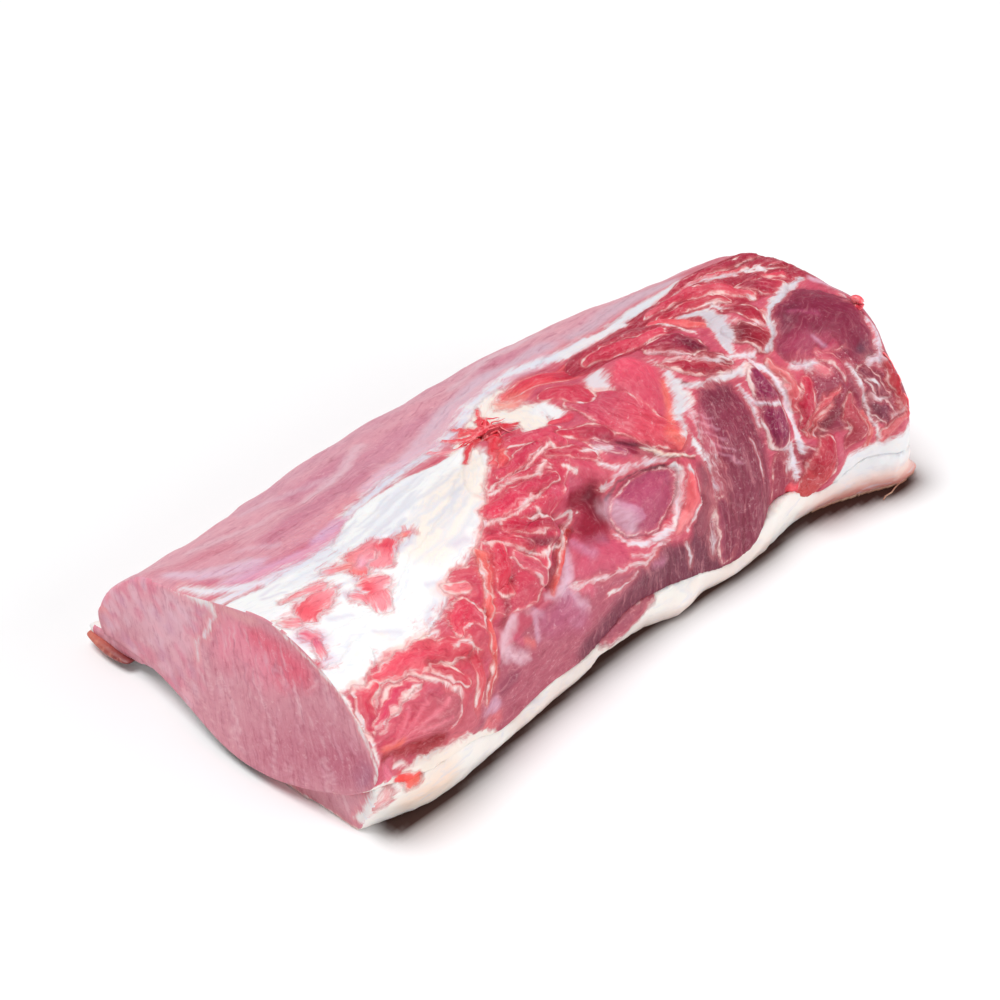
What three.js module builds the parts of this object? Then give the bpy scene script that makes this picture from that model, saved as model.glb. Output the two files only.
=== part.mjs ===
// A boneless pork loin lying on its fat cap, in millimetres, +Z up.
// +X runs along the loin from the clean cut face to the ragged blade end. +Y is the smooth side,
// -Y the side where the ribs and the backbone came away. The origin is on the table under the middle.
import * as THREE from "three";

// The clean cut face stands at CUT_X, and the blade end starts to round over at BLADE_X
const CUT_X = -155;
const BLADE_X = 144;
const LEAN_CUT_END = { reach: 0, inset: 0, bulge: 0, rings: 9 };
const LEAN_BLADE_END = { reach: 14, inset: 13, bulge: 3, rings: 7 };
const FAT_CUT_END = { reach: 0, inset: 0, bulge: 0, rings: 0 };
const FAT_BLADE_END = { reach: 14, inset: 3, bulge: 0, rings: 0 };

// The lean's outline in rails along the loin, from the fat on the smooth side over the top to the
// fat on the boned side. Every rail passes these stations, as [y, z].
const STATIONS = [-155, -75, 5, 80, 114, 148];
const RAILS = {
  smoothSeam: [[70, 9], [70, 12], [69, 12], [60, 13], [52, 14], [40, 14]],
  smoothBulge: [[73, 20], [76, 24], [75, 27], [66, 30], [57, 32], [44, 36]],
  smoothShoulder: [[49, 48], [53, 47], [54, 50], [46, 56], [37, 57], [25, 64]],
  boneGroove: [[14, 58], [15, 58], [16, 61], [14, 69], [6, 76], [-4, 78]],
  crown: [[-37, 70], [-34, 69], [-32, 71], [-30, 76], [-33, 78], [-42, 77]],
  bonedShoulder: [[-68, 58], [-65, 54], [-61, 54], [-61, 58], [-64, 60], [-69, 59]],
  bonedBulge: [[-86, 36], [-79, 33], [-73, 30], [-73, 34], [-77, 38], [-85, 38]],
};

// The fat cap: the height of its edge on the boned side, left wavy by the knife, its foot on the
// table on both sides, and its thickness under the middle, all as [x, size]
const BONED_EDGE_Z = [
  [-155, 24], [-138, 20], [-122, 18], [-106, 16], [-88, 8], [-60, 10], [-36, 8],
  [-9, 15], [25, 12], [50, 7], [82, 21], [106, 12], [127, 22], [148, 18],
];
const BONED_EDGE_Y = [[-155, -82], [-125, -84], [-75, -78], [-12, -72], [60, -75], [100, -73], [148, -88]];
const BONED_FOOT_Y = [
  [-155, -74], [-125, -82], [-80, -78], [0, -71], [60, -75], [100, -70], [125, -76], [148, -84],
];
const SMOOTH_FOOT_Y = [[-155, 75], [-138, 66], [-75, 66], [5, 64], [80, 54], [148, 34]];
const MIDDLE_THICKNESS = [[-155, 3], [-120, 7], [148, 8]];
const EDGE_LIP = 1.6;
const SIDE_BOW = 2;
const SEAM_GAP = 0.45;

// The seam's way under the lean: [share of the width from the boned edge, share of the drop]
const SEAM_WAY = [[0.14, 0.6], [0.4, 1], [0.7, 1]];

// A tab of fat and rind stands out of the cap beside the cut face, on the smooth side
const TAB = { reach: 7, length: 18 };

// The lower middle of the cut face leans out past its rim, the fat cap less so
const LEAN_OUT = { middleY: -22, halfWidth: 52, height: 62, fade: 45 };
const LEAN_REACH = 9;
const FAT_REACH = 3;

// On the smooth side the underside arches up off the table towards the cut face, and lifts the meat
// above it less and less
const ARCH = { middleY: 37, inner: 57, outer: 28, height: 9.5, upTo: 34, fade: 75, roundness: 1.5 };

// The relief is laid out on the skin in x and in arc, the way round from the middle of the boned
// side, over the top. The arc is measured on a cylinder round this axis.
const AXIS = { y: -5, z: 25, radius: 60 };

// Muscles and fat lobes as rounded strokes on the skin: from x, arc to x, arc, then half the width
// and how far the middle stands out. A negative rise is a hollow.
const STROKES = {
  nearTop: [-150, 28, -122, 31, 6, 2.5],
  nearFan: [-148, 17, -116, 12, 9, 4.5],
  nearDark: [-122, 22, -100, 12, 7, 3],
  nearRed: [-118, 30, -92, 23, 7, 4],
  nearOrange: [-92, 30, -89, 12, 6, 3],
  nearCrevice: [-150, 8, -128, 3, 6, -4],
  strandLow: [-78, 24, -45, 28, 6, 4],
  strandLeft: [-88, 31, -60, 37, 6, 4],
  strandMiddle: [-68, 42, -34, 35, 5, 4.5],
  strandHigh: [-60, 50, -22, 44, 5.5, 4.5],
  strandTop: [-55, 57, -12, 53, 6, 4],
  deepHollow: [-28, 36, -8, 38, 10, -7],
  redMass: [-30, 74, -8, 68, 13, 4],
  tuft: [-30, 97, -20, 84, 8, 4],
  tuftTip: [-12, 120, -12, 98, 6, 3],
  orangeLobe: [22, 122, 18, 92, 15, 4],
  salmonLobe: [45, 80, 34, 62, 16, 5],
  innerFlap: [16, 78, 8, 60, 9, 3],
  flapEdge: [22, 50, 40, 42, 8, 4.5],
  eyeSocket: [-4, 24, 20, 27, 16, -5],
  eye: [-1, 25, 18, 27, 11, 3.5],
  eyeFlap: [34, 32, 32, 16, 6, 4],
  eyeSill: [-18, 13, 22, 11, 6, 2],
  wallNear: [-112, 3, -76, -2, 10, 2],
  wallMiddle: [-66, -1, -32, -3, 11, 2],
  wallFar: [-22, 2, 34, 0, 12, 2],
  wallKnob: [48, 10, 48, -6, 10, 3],
  longMuscle: [60, 48, 64, -2, 12, 3],
  purpleMuscle: [85, 46, 86, 22, 9, 3],
  whiteSeam: [93, 50, 92, 8, 5, -3],
  bladeRed: [101, 30, 121, 32, 10, 3.5],
  bladeCrevice: [96, 17, 114, 18, 5, -3.5],
  bladeRound: [103, 6, 106, 0, 12, 4.5],
  bladeOrange: [117, 18, 124, 9, 7, 3],
  bladePurple: [132, 27, 132, 13, 8, 1],
  bladeTip: [145, 27, 146, 11, 6, 3],
  bladeOval: [118, 55, 136, 50, 16, 3.5],
  topDark: [101, 68, 97, 58, 11, 3.5],
  topBack: [120, 79, 136, 78, 8, 3],
  topLoop: [106, 84, 114, 92, 7, 3],
  topRed: [72, 88, 69, 72, 13, 4],
  topLong: [46, 110, 66, 98, 9, 4],
  topLow: [60, 65, 82, 60, 7, 3],
  ridgeNear: [84, 104, 108, 99, 6, 3],
  ridgeFar: [108, 109, 143, 102, 7, 3],
  fatSwell: [-62, 98, -52, 62, 25, 2],
  sideSwellNear: [-105, 136, -62, 134, 20, 2],
  sideSwellFar: [0, 140, 42, 137, 20, 2.5],
};
const STROKE_ROUNDNESS = 1.4;

// Below the ragged edge of the rib meat, given as [x, arc], the boned wall lies deeper
const RAGGED_EDGE = [
  [-155, 8], [-110, 6], [-84, 20], [-50, 25], [-28, 31], [0, 38], [40, 36], [70, 46], [100, 48],
];
const WALL = { depth: 3, step: 5, fromX: -105, toX: 92, fade: 14 };

// Where the relief dies out: in arc towards the fat's edge and the smooth side, along x at the rim
// of the cut face, and towards the middle of the blade end's face
const RELIEF_FADE = { boned: -12, smooth: 150, arc: 10, rim: 10, rimShare: 0.35, end: 30 };

// The blade end is a cut through several muscles: [y, z, half width, rise]
const END_MUSCLES = [
  [-58, 34, 22, 3], [-62, 62, 12, 2], [-28, 56, 18, 3], [-18, 26, 20, 2.5], [12, 44, 18, 2.5], [18, 22, 12, 2],
];

// How finely the skins are divided: rings along the loin, points round it, with a coarse stretch
// on the smooth side and a fine one from the given share of the outline on, and rings in the ends
const RINGS = 76;
const COARSE_POINTS = 9;
const FINE_POINTS = 38;
const FINE_FROM = 0.3;
const CURVE_STEPS = 400;
const SEAM_POINTS = 8;
const SIDE_POINTS = 2;
const FOOT_POINTS = 7;
const ROUND_RINGS = 4;

const { clamp, lerp, smoothstep } = THREE.MathUtils;

function at(x, y, z) {
  return new THREE.Vector3(x, y, z);
}

// A smooth function of x through points [x, value]
function along(points) {
  const last = points.length - 1;
  const slope = (i) => {
    const [a, b] = [points[Math.max(i - 1, 0)], points[Math.min(i + 1, last)]];
    return (b[1] - a[1]) / (b[0] - a[0]);
  };
  return (x) => {
    const inside = clamp(x, points[0][0], points[last][0]);
    const k = Math.max(points.findLastIndex((p, i) => i < last && p[0] <= inside), 0);
    const [[x0, v0], [x1, v1]] = [points[k], points[k + 1]];
    const span = x1 - x0;
    const t = (inside - x0) / span;
    const leaving = t * (1 - t) ** 2 * span * slope(k);
    const arriving = t ** 2 * (1 - t) * span * slope(k + 1);
    return lerp(v0, v1, smoothstep(t, 0, 1)) + leaving - arriving;
  };
}

const rails = Object.values(RAILS).map((points) => ({
  y: along(points.map((p, i) => [STATIONS[i], p[0]])),
  z: along(points.map((p, i) => [STATIONS[i], p[1]])),
}));
const bonedEdgeY = along(BONED_EDGE_Y);
const bonedEdgeZ = along(BONED_EDGE_Z);
const bonedFootY = along(BONED_FOOT_Y);
const smoothFootY = along(SMOOTH_FOOT_Y);
const middleThickness = along(MIDDLE_THICKNESS);
const raggedEdge = along(RAGGED_EDGE);

// The lean's outline at x, from seam to seam over the top
function topArc(x) {
  const points = rails.map((rail) => at(x, rail.y(x), rail.z(x)));
  points.push(at(x, bonedEdgeY(x), bonedEdgeZ(x)));
  const curve = new THREE.CatmullRomCurve3(points);
  curve.arcLengthDivisions = CURVE_STEPS;
  const arc = [];
  for (let i = 0; i < COARSE_POINTS; i += 1) arc.push(curve.getPointAt((i / COARSE_POINTS) * FINE_FROM));
  for (let i = 0; i <= FINE_POINTS; i += 1) arc.push(curve.getPointAt(lerp(FINE_FROM, 1, i / FINE_POINTS)));
  return arc;
}

// The seam between lean and fat at x, from the boned side under the lean to the smooth side
function seamArc(x) {
  const top = topArc(x);
  const [smooth, boned] = [top[0], top.at(-1)];
  const inner = SEAM_WAY.map(([across, drop]) =>
    at(x, lerp(boned.y, smooth.y, across), lerp(boned.z, middleThickness(x), drop)),
  );
  return new THREE.CatmullRomCurve3([boned, ...inner, smooth]).getSpacedPoints(SEAM_POINTS);
}

function leanSection(x) {
  return [...topArc(x), ...seamArc(x).slice(1, -1)];
}

// A side of the fat cap between its edge and its foot, bowed out a little
function fatSide(from, to, bow) {
  const elbow = from.clone().lerp(to, 0.5).add(at(0, bow, 0));
  return new THREE.QuadraticBezierCurve3(from, elbow, to).getPoints(SIDE_POINTS);
}

// The fat's outline at x: down the boned side, along the table, up the smooth side and back along
// the seam
function fatSection(x) {
  const seam = seamArc(x).map((p) => p.add(at(0, 0, -SEAM_GAP)));
  const tab = TAB.reach * clamp(1 - (x - CUT_X) / TAB.length, 0, 1);
  const boned = seam[0].clone().add(at(0, -EDGE_LIP, 0));
  const smooth = seam.at(-1).clone().add(at(0, EDGE_LIP + tab, 0));
  const bonedFoot = at(x, bonedFootY(x), 0);
  const smoothFoot = at(x, smoothFootY(x), 0);
  return [
    ...fatSide(boned, bonedFoot, -SIDE_BOW),
    ...new THREE.LineCurve3(bonedFoot, smoothFoot).getPoints(FOOT_POINTS).slice(1, -1),
    ...fatSide(smoothFoot, smooth, SIDE_BOW),
    ...seam.slice(1).reverse(),
  ];
}

// The height of one rounded stroke at a place on the skin
function strokeHeight([x0, arc0, x1, arc1, radius, rise], x, arc) {
  const [dx, dArc] = [x1 - x0, arc1 - arc0];
  const share = clamp(((x - x0) * dx + (arc - arc0) * dArc) / (dx * dx + dArc * dArc), 0, 1);
  const away = Math.hypot(x - x0 - share * dx, arc - arc0 - share * dArc) / radius;
  return rise * Math.max(1 - away * away, 0) ** STROKE_ROUNDNESS;
}

// How far the skin stands out at x and arc: the highest stroke, less the deepest hollow and the
// step down to the boned wall
function relief(x, arc) {
  const heights = Object.values(STROKES).map((stroke) => strokeHeight(stroke, x, arc));
  const edge = raggedEdge(x);
  const below = 1 - smoothstep(arc, edge - WALL.step, edge + WALL.step);
  const fromNear = smoothstep(x, WALL.fromX, WALL.fromX + WALL.fade);
  const toFar = 1 - smoothstep(x, WALL.toX - WALL.fade, WALL.toX);
  return Math.max(...heights, 0) + Math.min(...heights, 0) - WALL.depth * below * fromNear * toFar;
}

// Moves a point of the lean away from the axis by the relief
function carve(p) {
  if (p.x < CUT_X) return;
  const [side, up] = [AXIS.y - p.y, p.z - AXIS.z];
  const far = Math.hypot(side, up);
  const turn = Math.atan2(up, side);
  const arc = AXIS.radius * (turn < -Math.PI / 2 ? turn + 2 * Math.PI : turn);
  const fade = RELIEF_FADE;
  const atEdge = smoothstep(arc, fade.boned, fade.boned + fade.arc);
  const atSmooth = 1 - smoothstep(arc, fade.smooth - fade.arc, fade.smooth);
  const atRim = lerp(fade.rimShare, 1, smoothstep(p.x, CUT_X, CUT_X + fade.rim));
  const atEnd = p.x > BLADE_X ? smoothstep(far, 0, fade.end) : 1;
  const rise = relief(p.x, arc) * atEdge * atSmooth * atRim * atEnd;
  p.y -= (rise * side) / far;
  p.z += (rise * up) / far;
}

// Pushes the blade end's face out where a muscle is cut through
function swellEnd(p) {
  if (p.x < BLADE_X + LEAN_BLADE_END.reach - 1) return;
  for (const [y, z, halfWidth, rise] of END_MUSCLES) {
    const away = Math.hypot(p.y - y, p.z - z) / halfWidth;
    p.x += rise * Math.max(1 - away * away, 0);
  }
}

// Leans the cut end out near the table
function leanOut(p, reach) {
  const side = (p.y - LEAN_OUT.middleY) / LEAN_OUT.halfWidth;
  const low = clamp(1 - p.z / LEAN_OUT.height, 0, 1);
  const fade = clamp(1 - (p.x - CUT_X) / LEAN_OUT.fade, 0, 1);
  p.x -= reach * Math.exp(-side * side) * low * fade;
}

// Lifts the underside into its arch
function archUp(p) {
  const side = (p.y - ARCH.middleY) / (p.y < ARCH.middleY ? ARCH.inner : ARCH.outer);
  const low = clamp(1 - p.z / ARCH.upTo, 0, 1);
  const near = 1 - smoothstep(p.x, CUT_X, CUT_X + ARCH.fade);
  p.z += ARCH.height * Math.max(1 - side * side, 0) ** ARCH.roundness * low * near;
}

function middleOf(ring) {
  return ring.reduce((sum, p) => sum.add(p), at(0, 0, 0)).divideScalar(ring.length);
}

// Rings that close an end: rounded over towards a point low in the section, then flat to a tip in
// the middle. An end with no flat rings has no tip.
function endRings(ring, direction, { reach, inset, bulge, rings: flatRings }) {
  const pivot = middleOf(ring).setZ(Math.min(...ring.map((p) => p.z)) + 1);
  const rings = [];
  let last = ring;
  for (let k = 1; k <= ROUND_RINGS && reach > 0; k += 1) {
    const turn = (k / ROUND_RINGS) * (Math.PI / 2);
    last = ring.map((p) => {
      const inward = pivot.clone().sub(p);
      inward.setLength(Math.min(inset * (1 - Math.cos(turn)), inward.length() / 2));
      return p.clone().add(inward).add(at(direction * reach * Math.sin(turn), 0, 0));
    });
    rings.push(last);
  }
  if (flatRings === 0) return { rings, tips: [] };
  const tip = middleOf(last);
  for (let k = 1; k < flatRings; k += 1) {
    const share = k / flatRings;
    const out = direction * bulge * (1 - (1 - share) ** 2);
    rings.push(last.map((p) => p.clone().lerp(tip, share).add(at(out, 0, 0))));
  }
  tip.x += direction * bulge;
  return { rings, tips: [tip] };
}

// Closes an end with a fan round its tip, or straight across its last ring where it has none
function endFaces(points, ring, tip, direction) {
  if (tip !== undefined) {
    return ring.flatMap((p, i) => {
      const next = ring[(i + 1) % ring.length];
      return direction > 0 ? [tip, p, next] : [tip, next, p];
    });
  }
  const outline = ring.map((i) => new THREE.Vector2(points[i].y, points[i].z));
  return THREE.ShapeUtils.triangulateShape(outline, []).flatMap(([a, b, c]) => {
    const turns = THREE.ShapeUtils.area([outline[a], outline[b], outline[c]]) * direction > 0;
    return turns ? [ring[a], ring[b], ring[c]] : [ring[a], ring[c], ring[b]];
  });
}

// A closed skin through sections along x, each point then shaped. Two skins that meet at the seam
// have their squares split along the same diagonals there: one of them is crossed.
function skinOf(sectionAt, cutEnd, bladeEnd, shape, crossed) {
  const sections = Array.from({ length: RINGS + 1 }, (_, i) => sectionAt(lerp(CUT_X, BLADE_X, i / RINGS)));
  const count = sections[0].length;
  const near = endRings(sections[0], -1, cutEnd);
  const far = endRings(sections.at(-1), 1, bladeEnd);
  const rings = [...near.rings.reverse(), ...sections, ...far.rings];
  const points = [...rings.flat(), ...near.tips, ...far.tips];
  points.forEach(shape);
  const index = (ring, i) => ring * count + (i % count);
  const lastRing = rings.length - 1;
  const ringAt = (ring) => Array.from({ length: count }, (_, i) => index(ring, i));
  const [nearTip, farTip] = [...near.tips, ...far.tips].map((_, i) => rings.length * count + i);
  const faces = [
    ...endFaces(points, ringAt(0), nearTip, -1),
    ...endFaces(points, ringAt(lastRing), farTip, 1),
  ];
  for (let i = 0; i < count; i += 1) {
    for (let r = 0; r < lastRing; r += 1) {
      const [a, b, c, d] = [index(r, i), index(r, i + 1), index(r + 1, i + 1), index(r + 1, i)];
      faces.push(...(crossed ? [a, b, d, b, c, d] : [a, b, c, a, c, d]));
    }
  }
  const geometry = new THREE.BufferGeometry().setFromPoints(points);
  geometry.setIndex(faces);
  geometry.computeVertexNormals();
  return geometry;
}

// The eye muscle with the rib and back meat on it, one solid of lean
function makeLean() {
  const shape = (p) => {
    carve(p);
    swellEnd(p);
    archUp(p);
    leanOut(p, LEAN_REACH);
  };
  const look = new THREE.MeshStandardMaterial({ color: 0xc9737f, roughness: 0.45, metalness: 0 });
  const lean = new THREE.Mesh(skinOf(leanSection, LEAN_CUT_END, LEAN_BLADE_END, shape, false), look);
  lean.name = "lean";
  return lean;
}

// The fat cap with its rind side down, the layer that the loin lies on
function makeFatCap() {
  const look = new THREE.MeshStandardMaterial({ color: 0xefe9e3, roughness: 0.5, metalness: 0 });
  const shape = (p) => {
    archUp(p);
    leanOut(p, FAT_REACH);
  };
  const fatCap = new THREE.Mesh(skinOf(fatSection, FAT_CUT_END, FAT_BLADE_END, shape, true), look);
  fatCap.name = "fat_cap";
  return fatCap;
}

const loin = new THREE.Group();
loin.add(makeLean(), makeFatCap());

// The origin goes under the middle of the whole loin
const box = new THREE.Box3().setFromObject(loin);
const middle = box.getCenter(at(0, 0, 0));
loin.position.set(-middle.x, -middle.y, -box.min.z);

export default loin;
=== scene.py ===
import bmesh
import math

import bpy
import numpy as np
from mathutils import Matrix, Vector, noise
from mathutils.bvhtree import BVHTree


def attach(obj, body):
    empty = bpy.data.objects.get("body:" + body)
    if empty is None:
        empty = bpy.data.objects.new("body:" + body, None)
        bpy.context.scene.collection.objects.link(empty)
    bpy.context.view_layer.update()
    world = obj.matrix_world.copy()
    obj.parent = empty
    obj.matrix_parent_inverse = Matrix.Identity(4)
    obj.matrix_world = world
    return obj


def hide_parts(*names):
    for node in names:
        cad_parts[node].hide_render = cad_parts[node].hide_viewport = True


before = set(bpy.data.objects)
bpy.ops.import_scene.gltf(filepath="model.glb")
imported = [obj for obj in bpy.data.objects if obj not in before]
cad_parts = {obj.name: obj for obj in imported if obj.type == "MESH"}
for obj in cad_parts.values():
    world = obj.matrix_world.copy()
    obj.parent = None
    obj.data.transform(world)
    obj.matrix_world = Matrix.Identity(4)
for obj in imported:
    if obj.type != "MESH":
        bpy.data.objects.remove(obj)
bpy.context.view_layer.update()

# The camera looks down on the loin from beyond its cut face, on the boned side.
# It stands about a metre off, with a long lens, so the far end is hardly smaller.
turn, tilt, distance = math.radians(-46), math.radians(36), 0.99408
look_at = Vector((-0.00746, 0.00467, 0.03))
backwards = Vector((math.sin(turn) * math.cos(tilt), -math.cos(turn) * math.cos(tilt), math.sin(tilt)))
camera_data = bpy.data.cameras.new("camera")
camera_data.lens = 90
camera_data.sensor_width = 36
camera_data.clip_start = 0.01
camera = bpy.data.objects.new("camera", camera_data)
camera.location = look_at + backwards * distance
camera.rotation_euler = backwards.to_track_quat("Z", "Y").to_euler()
bpy.context.scene.collection.objects.link(camera)
bpy.context.scene.camera = camera

# The table is a white sheet that runs out of view on all sides, with a contact shadow painted onto it.
# The light is a white tent: even light from all round, and a broad soft lamp behind on the left
# that leaves a dark, narrow shadow along the boned side, which the painted shadow deepens.
bpy.context.scene.view_settings.view_transform = "Standard"
bpy.context.scene.view_settings.look = "None"


def paint(red, green, blue):
    """A colour given as a paint card gives it, 0 to 255, in the linear values that light uses."""
    card = (channel / 255 for channel in (red, green, blue))
    return tuple(c / 12.92 if c <= 0.04045 else ((c + 0.055) / 1.055) ** 2.4 for c in card)


class Socket:
    """A socket of a shader node, so that a material's maths reads as a sum."""

    def __init__(self, tree, socket=None):
        self.tree = tree
        self.socket = socket

    def node(self, kind, settings=None, inputs=None, output=0):
        """Adds a node: its settings first, then a value or a link for each socket by name."""
        made = self.tree.nodes.new(kind)
        for name, value in (settings or {}).items():
            setattr(made, name, value)
        for name, value in (inputs or {}).items():
            if isinstance(value, Socket):
                self.tree.links.new(value.socket, made.inputs[name])
            elif isinstance(value, tuple) and made.inputs[name].type == "RGBA":
                made.inputs[name].default_value = (*value, 1)
            else:
                made.inputs[name].default_value = value
        return Socket(self.tree, made.outputs[output]) if made.outputs else None

    def maths(self, operation, first, second, third=0.0):
        return self.node("ShaderNodeMath", {"operation": operation}, {0: first, 1: second, 2: third})

    def __add__(self, other):
        return self.maths("ADD", self, other)

    def __sub__(self, other):
        return self.maths("SUBTRACT", self, other)

    def __rsub__(self, other):
        return self.maths("SUBTRACT", other, self)

    def __mul__(self, other):
        return self.maths("MULTIPLY", self, other)

    __radd__ = __add__
    __rmul__ = __mul__

    def between(self, low, high):
        """0 where this is below low, 1 where it is above high, and smooth in between."""
        settings = {"interpolation_type": "SMOOTHSTEP"}
        return self.node("ShaderNodeMapRange", settings, {"Value": self, "From Min": low, "From Max": high})

    def blend(self, under, over):
        """The colour under where this is 0, and the colour over where it is 1."""
        inputs = {0: self, 6: under, 7: over}
        return self.node("ShaderNodeMix", {"data_type": "RGBA"}, inputs, output=2)

    def stretched(self, *factors):
        return self.node("ShaderNodeVectorMath", {"operation": "MULTIPLY"}, {0: self, 1: factors})

    def cloud(self, scale, detail=2.0, roughness=0.5, distortion=0.0):
        """Smooth noise about 0.5 that follows this vector."""
        inputs = {"Scale": scale, "Detail": detail, "Roughness": roughness, "Distortion": distortion}
        return self.node("ShaderNodeTexNoise", {}, {"Vector": self, **inputs})


def new_material(name):
    """A material with an empty node tree, and the start of its shader maths."""
    material = bpy.data.materials.new(name)
    material.use_nodes = True
    material.node_tree.nodes.clear()
    return material, Socket(material.node_tree)


def finish_material(sheet, inputs):
    """Puts the Principled shader at the end of a material."""
    shader = sheet.node("ShaderNodeBsdfPrincipled", {}, inputs)
    sheet.node("ShaderNodeOutputMaterial", {}, {"Surface": shader})


def eased(value, low, high):
    """0 below low, 1 above high, and smooth in between."""
    share = np.clip((value - low) / (high - low), 0, 1)
    return share * share * (3 - 2 * share)


TABLE_SPACING = 0.0025


def table_net():
    """A square net, fine near the loin and wide outside it."""
    steps = [-6, -2, -0.6] + [i * TABLE_SPACING for i in range(-84, 85)] + [0.6, 2, 6]
    count = len(steps)
    net = [(x, y, 0) for x in steps for y in steps]
    squares = [(i * count + j, (i + 1) * count + j, (i + 1) * count + j + 1, i * count + j + 1)
               for i in range(count - 1) for j in range(count - 1)]
    return net, squares


table_mesh = bpy.data.meshes.new("table")
net, squares = table_net()
table_mesh.from_pydata(net, [], squares)
table = bpy.data.objects.new("table", table_mesh)
bpy.context.scene.collection.objects.link(table)

# A contact shadow is painted onto the table, darkest along the boned side's foot, and fades within some
# millimetres.
COLUMN = 0.006
FOOT_INSET = 0.002
SHADE_FADE = 0.005
foot = {}
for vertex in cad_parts["fat_cap"].data.vertices:
    column = round(vertex.co.x / COLUMN)
    foot[column] = min(foot.get(column, math.inf), vertex.co.y)
foot_x = np.array(sorted(foot)) * COLUMN
foot_y = np.array([foot[column] for column in sorted(foot)])
net = np.array(net)
edge_x = np.linspace(foot_x[0] + 0.012, foot_x[-1] - 0.003, 160)
edge_y = np.interp(edge_x, foot_x, foot_y) + FOOT_INSET
away = np.hypot(net[:, None, 0] - edge_x, net[:, None, 1] - edge_y).min(1)
under = net[:, 1] - np.interp(net[:, 0], edge_x, edge_y)
covered = eased(under, -0.007, 0.003) * eased(-under, -0.03, -0.02)
away *= 1 - covered * eased(-np.abs(net[:, 0]), -0.158, -0.142)
shade = np.clip(1.2 * np.exp(-away / SHADE_FADE) - 0.02, 0, 1)
shaded = table_mesh.attributes.new("shade", "FLOAT", "POINT")
shaded.data.foreach_set("value", shade.astype(np.float32))
table_material, sheet = new_material("white_table_painted_shadow")
dimmed = sheet.node("ShaderNodeAttribute", {"attribute_name": "shade"}, {}, 2)
# The table's white turns to a painted shadow, dark brown, where the shade value is high.
finish_material(sheet, {
    "Base Color": dimmed.blend((0.96, 0.96, 0.965), (0.07, 0.032, 0.026)),
    "Roughness": 0.6, "Specular IOR Level": 0.2})
table_mesh.materials.append(table_material)

world = bpy.data.worlds.new("tent")
world.use_nodes = True
world.node_tree.nodes["Background"].inputs["Color"].default_value = (1, 1, 1, 1)
world.node_tree.nodes["Background"].inputs["Strength"].default_value = 0.36
bpy.context.scene.world = world


def add_sun(name, turn, climb, strength, spread):
    """A sun that stands in a direction round the loin (degrees from +X) at a height above the table."""
    sun_data = bpy.data.lights.new(name, "SUN")
    sun_data.energy = strength
    sun_data.angle = math.radians(spread)
    sun = bpy.data.objects.new(name, sun_data)
    turn, climb = math.radians(turn), math.radians(climb)
    way = Vector((math.cos(turn) * math.cos(climb), math.sin(turn) * math.cos(climb), math.sin(climb)))
    sun.rotation_euler = way.to_track_quat("Z", "Y").to_euler()
    bpy.context.scene.collection.objects.link(sun)


add_sun("tent_top", 132, 72, 2.15, 34)
add_sun("tent_front", -70, 12, 1.6, 50)

# The lean is the eye muscle with the rib and back meat on it, cut clean across at one end.
# It is raw muscle with white fat and skins of connective tissue grown onto it.
# The butcher's knife left the boned side ragged, and the cut end flat.
MM = 0.001
AXIS_Z = 25.0
ARC_RADIUS = 60.0
# What lies beyond CUT_X belongs to the clean slice, and beyond FAR_X to the far end, in mm.
CUT_X = -150
FAR_X = 140
lean_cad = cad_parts["lean"]


def refined(source, name, levels, crease_angle):
    """A copy of a CAD node with a finer skin, sharp edges kept but softer at the smooth side's slice."""
    mesh = source.data.copy()
    mesh.name = name
    piece = bpy.data.objects.new(name, mesh)
    bpy.context.scene.collection.objects.link(piece)
    work = bmesh.new()
    work.from_mesh(mesh)
    bmesh.ops.remove_doubles(work, verts=work.verts, dist=1e-6)
    bmesh.ops.join_triangles(work, faces=work.faces, angle_face_threshold=0.7, angle_shape_threshold=1.2)
    crease = work.edges.layers.float.new("crease_edge")
    for edge in work.edges:
        if len(edge.link_faces) == 2 and edge.calc_face_angle() > crease_angle:
            middle = (edge.verts[0].co + edge.verts[1].co) / 2 / MM
            edge[crease] = 0.2 if middle.x < -140 and middle.y > 22 and middle.z > 20 else 0.8
    work.to_mesh(mesh)
    work.free()
    mesh.materials.clear()
    smooth = piece.modifiers.new("smooth", "SUBSURF")
    smooth.levels = levels
    evaluated = piece.evaluated_get(bpy.context.evaluated_depsgraph_get())
    piece.data = bpy.data.meshes.new_from_object(evaluated)
    piece.modifiers.clear()
    piece.data.name = name
    return piece


def read_points(mesh):
    points = np.empty(len(mesh.vertices) * 3, np.float32)
    mesh.vertices.foreach_get("co", points)
    return points.reshape(-1, 3).astype(float) / MM


def read_normals(mesh):
    normals = np.empty(len(mesh.vertices) * 3, np.float32)
    mesh.vertices.foreach_get("normal", normals)
    return normals.reshape(-1, 3).astype(float)


def move_points(mesh, points):
    mesh.vertices.foreach_set("co", (points * MM).astype(np.float32).ravel())
    mesh.update()


def wander(points, size, seed):
    """A smooth random vector at each point, about -1 to 1, that changes over the given size in mm."""
    shift = Vector((seed * 17.3, seed * 5.1, seed * 9.7))
    return np.array([noise.noise_vector(Vector(p) / size + shift) for p in points])


def widened(path, factor):
    """A stroke's path with its half widths multiplied."""
    return [(u, v, half * factor) for u, v, half in path]


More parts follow.
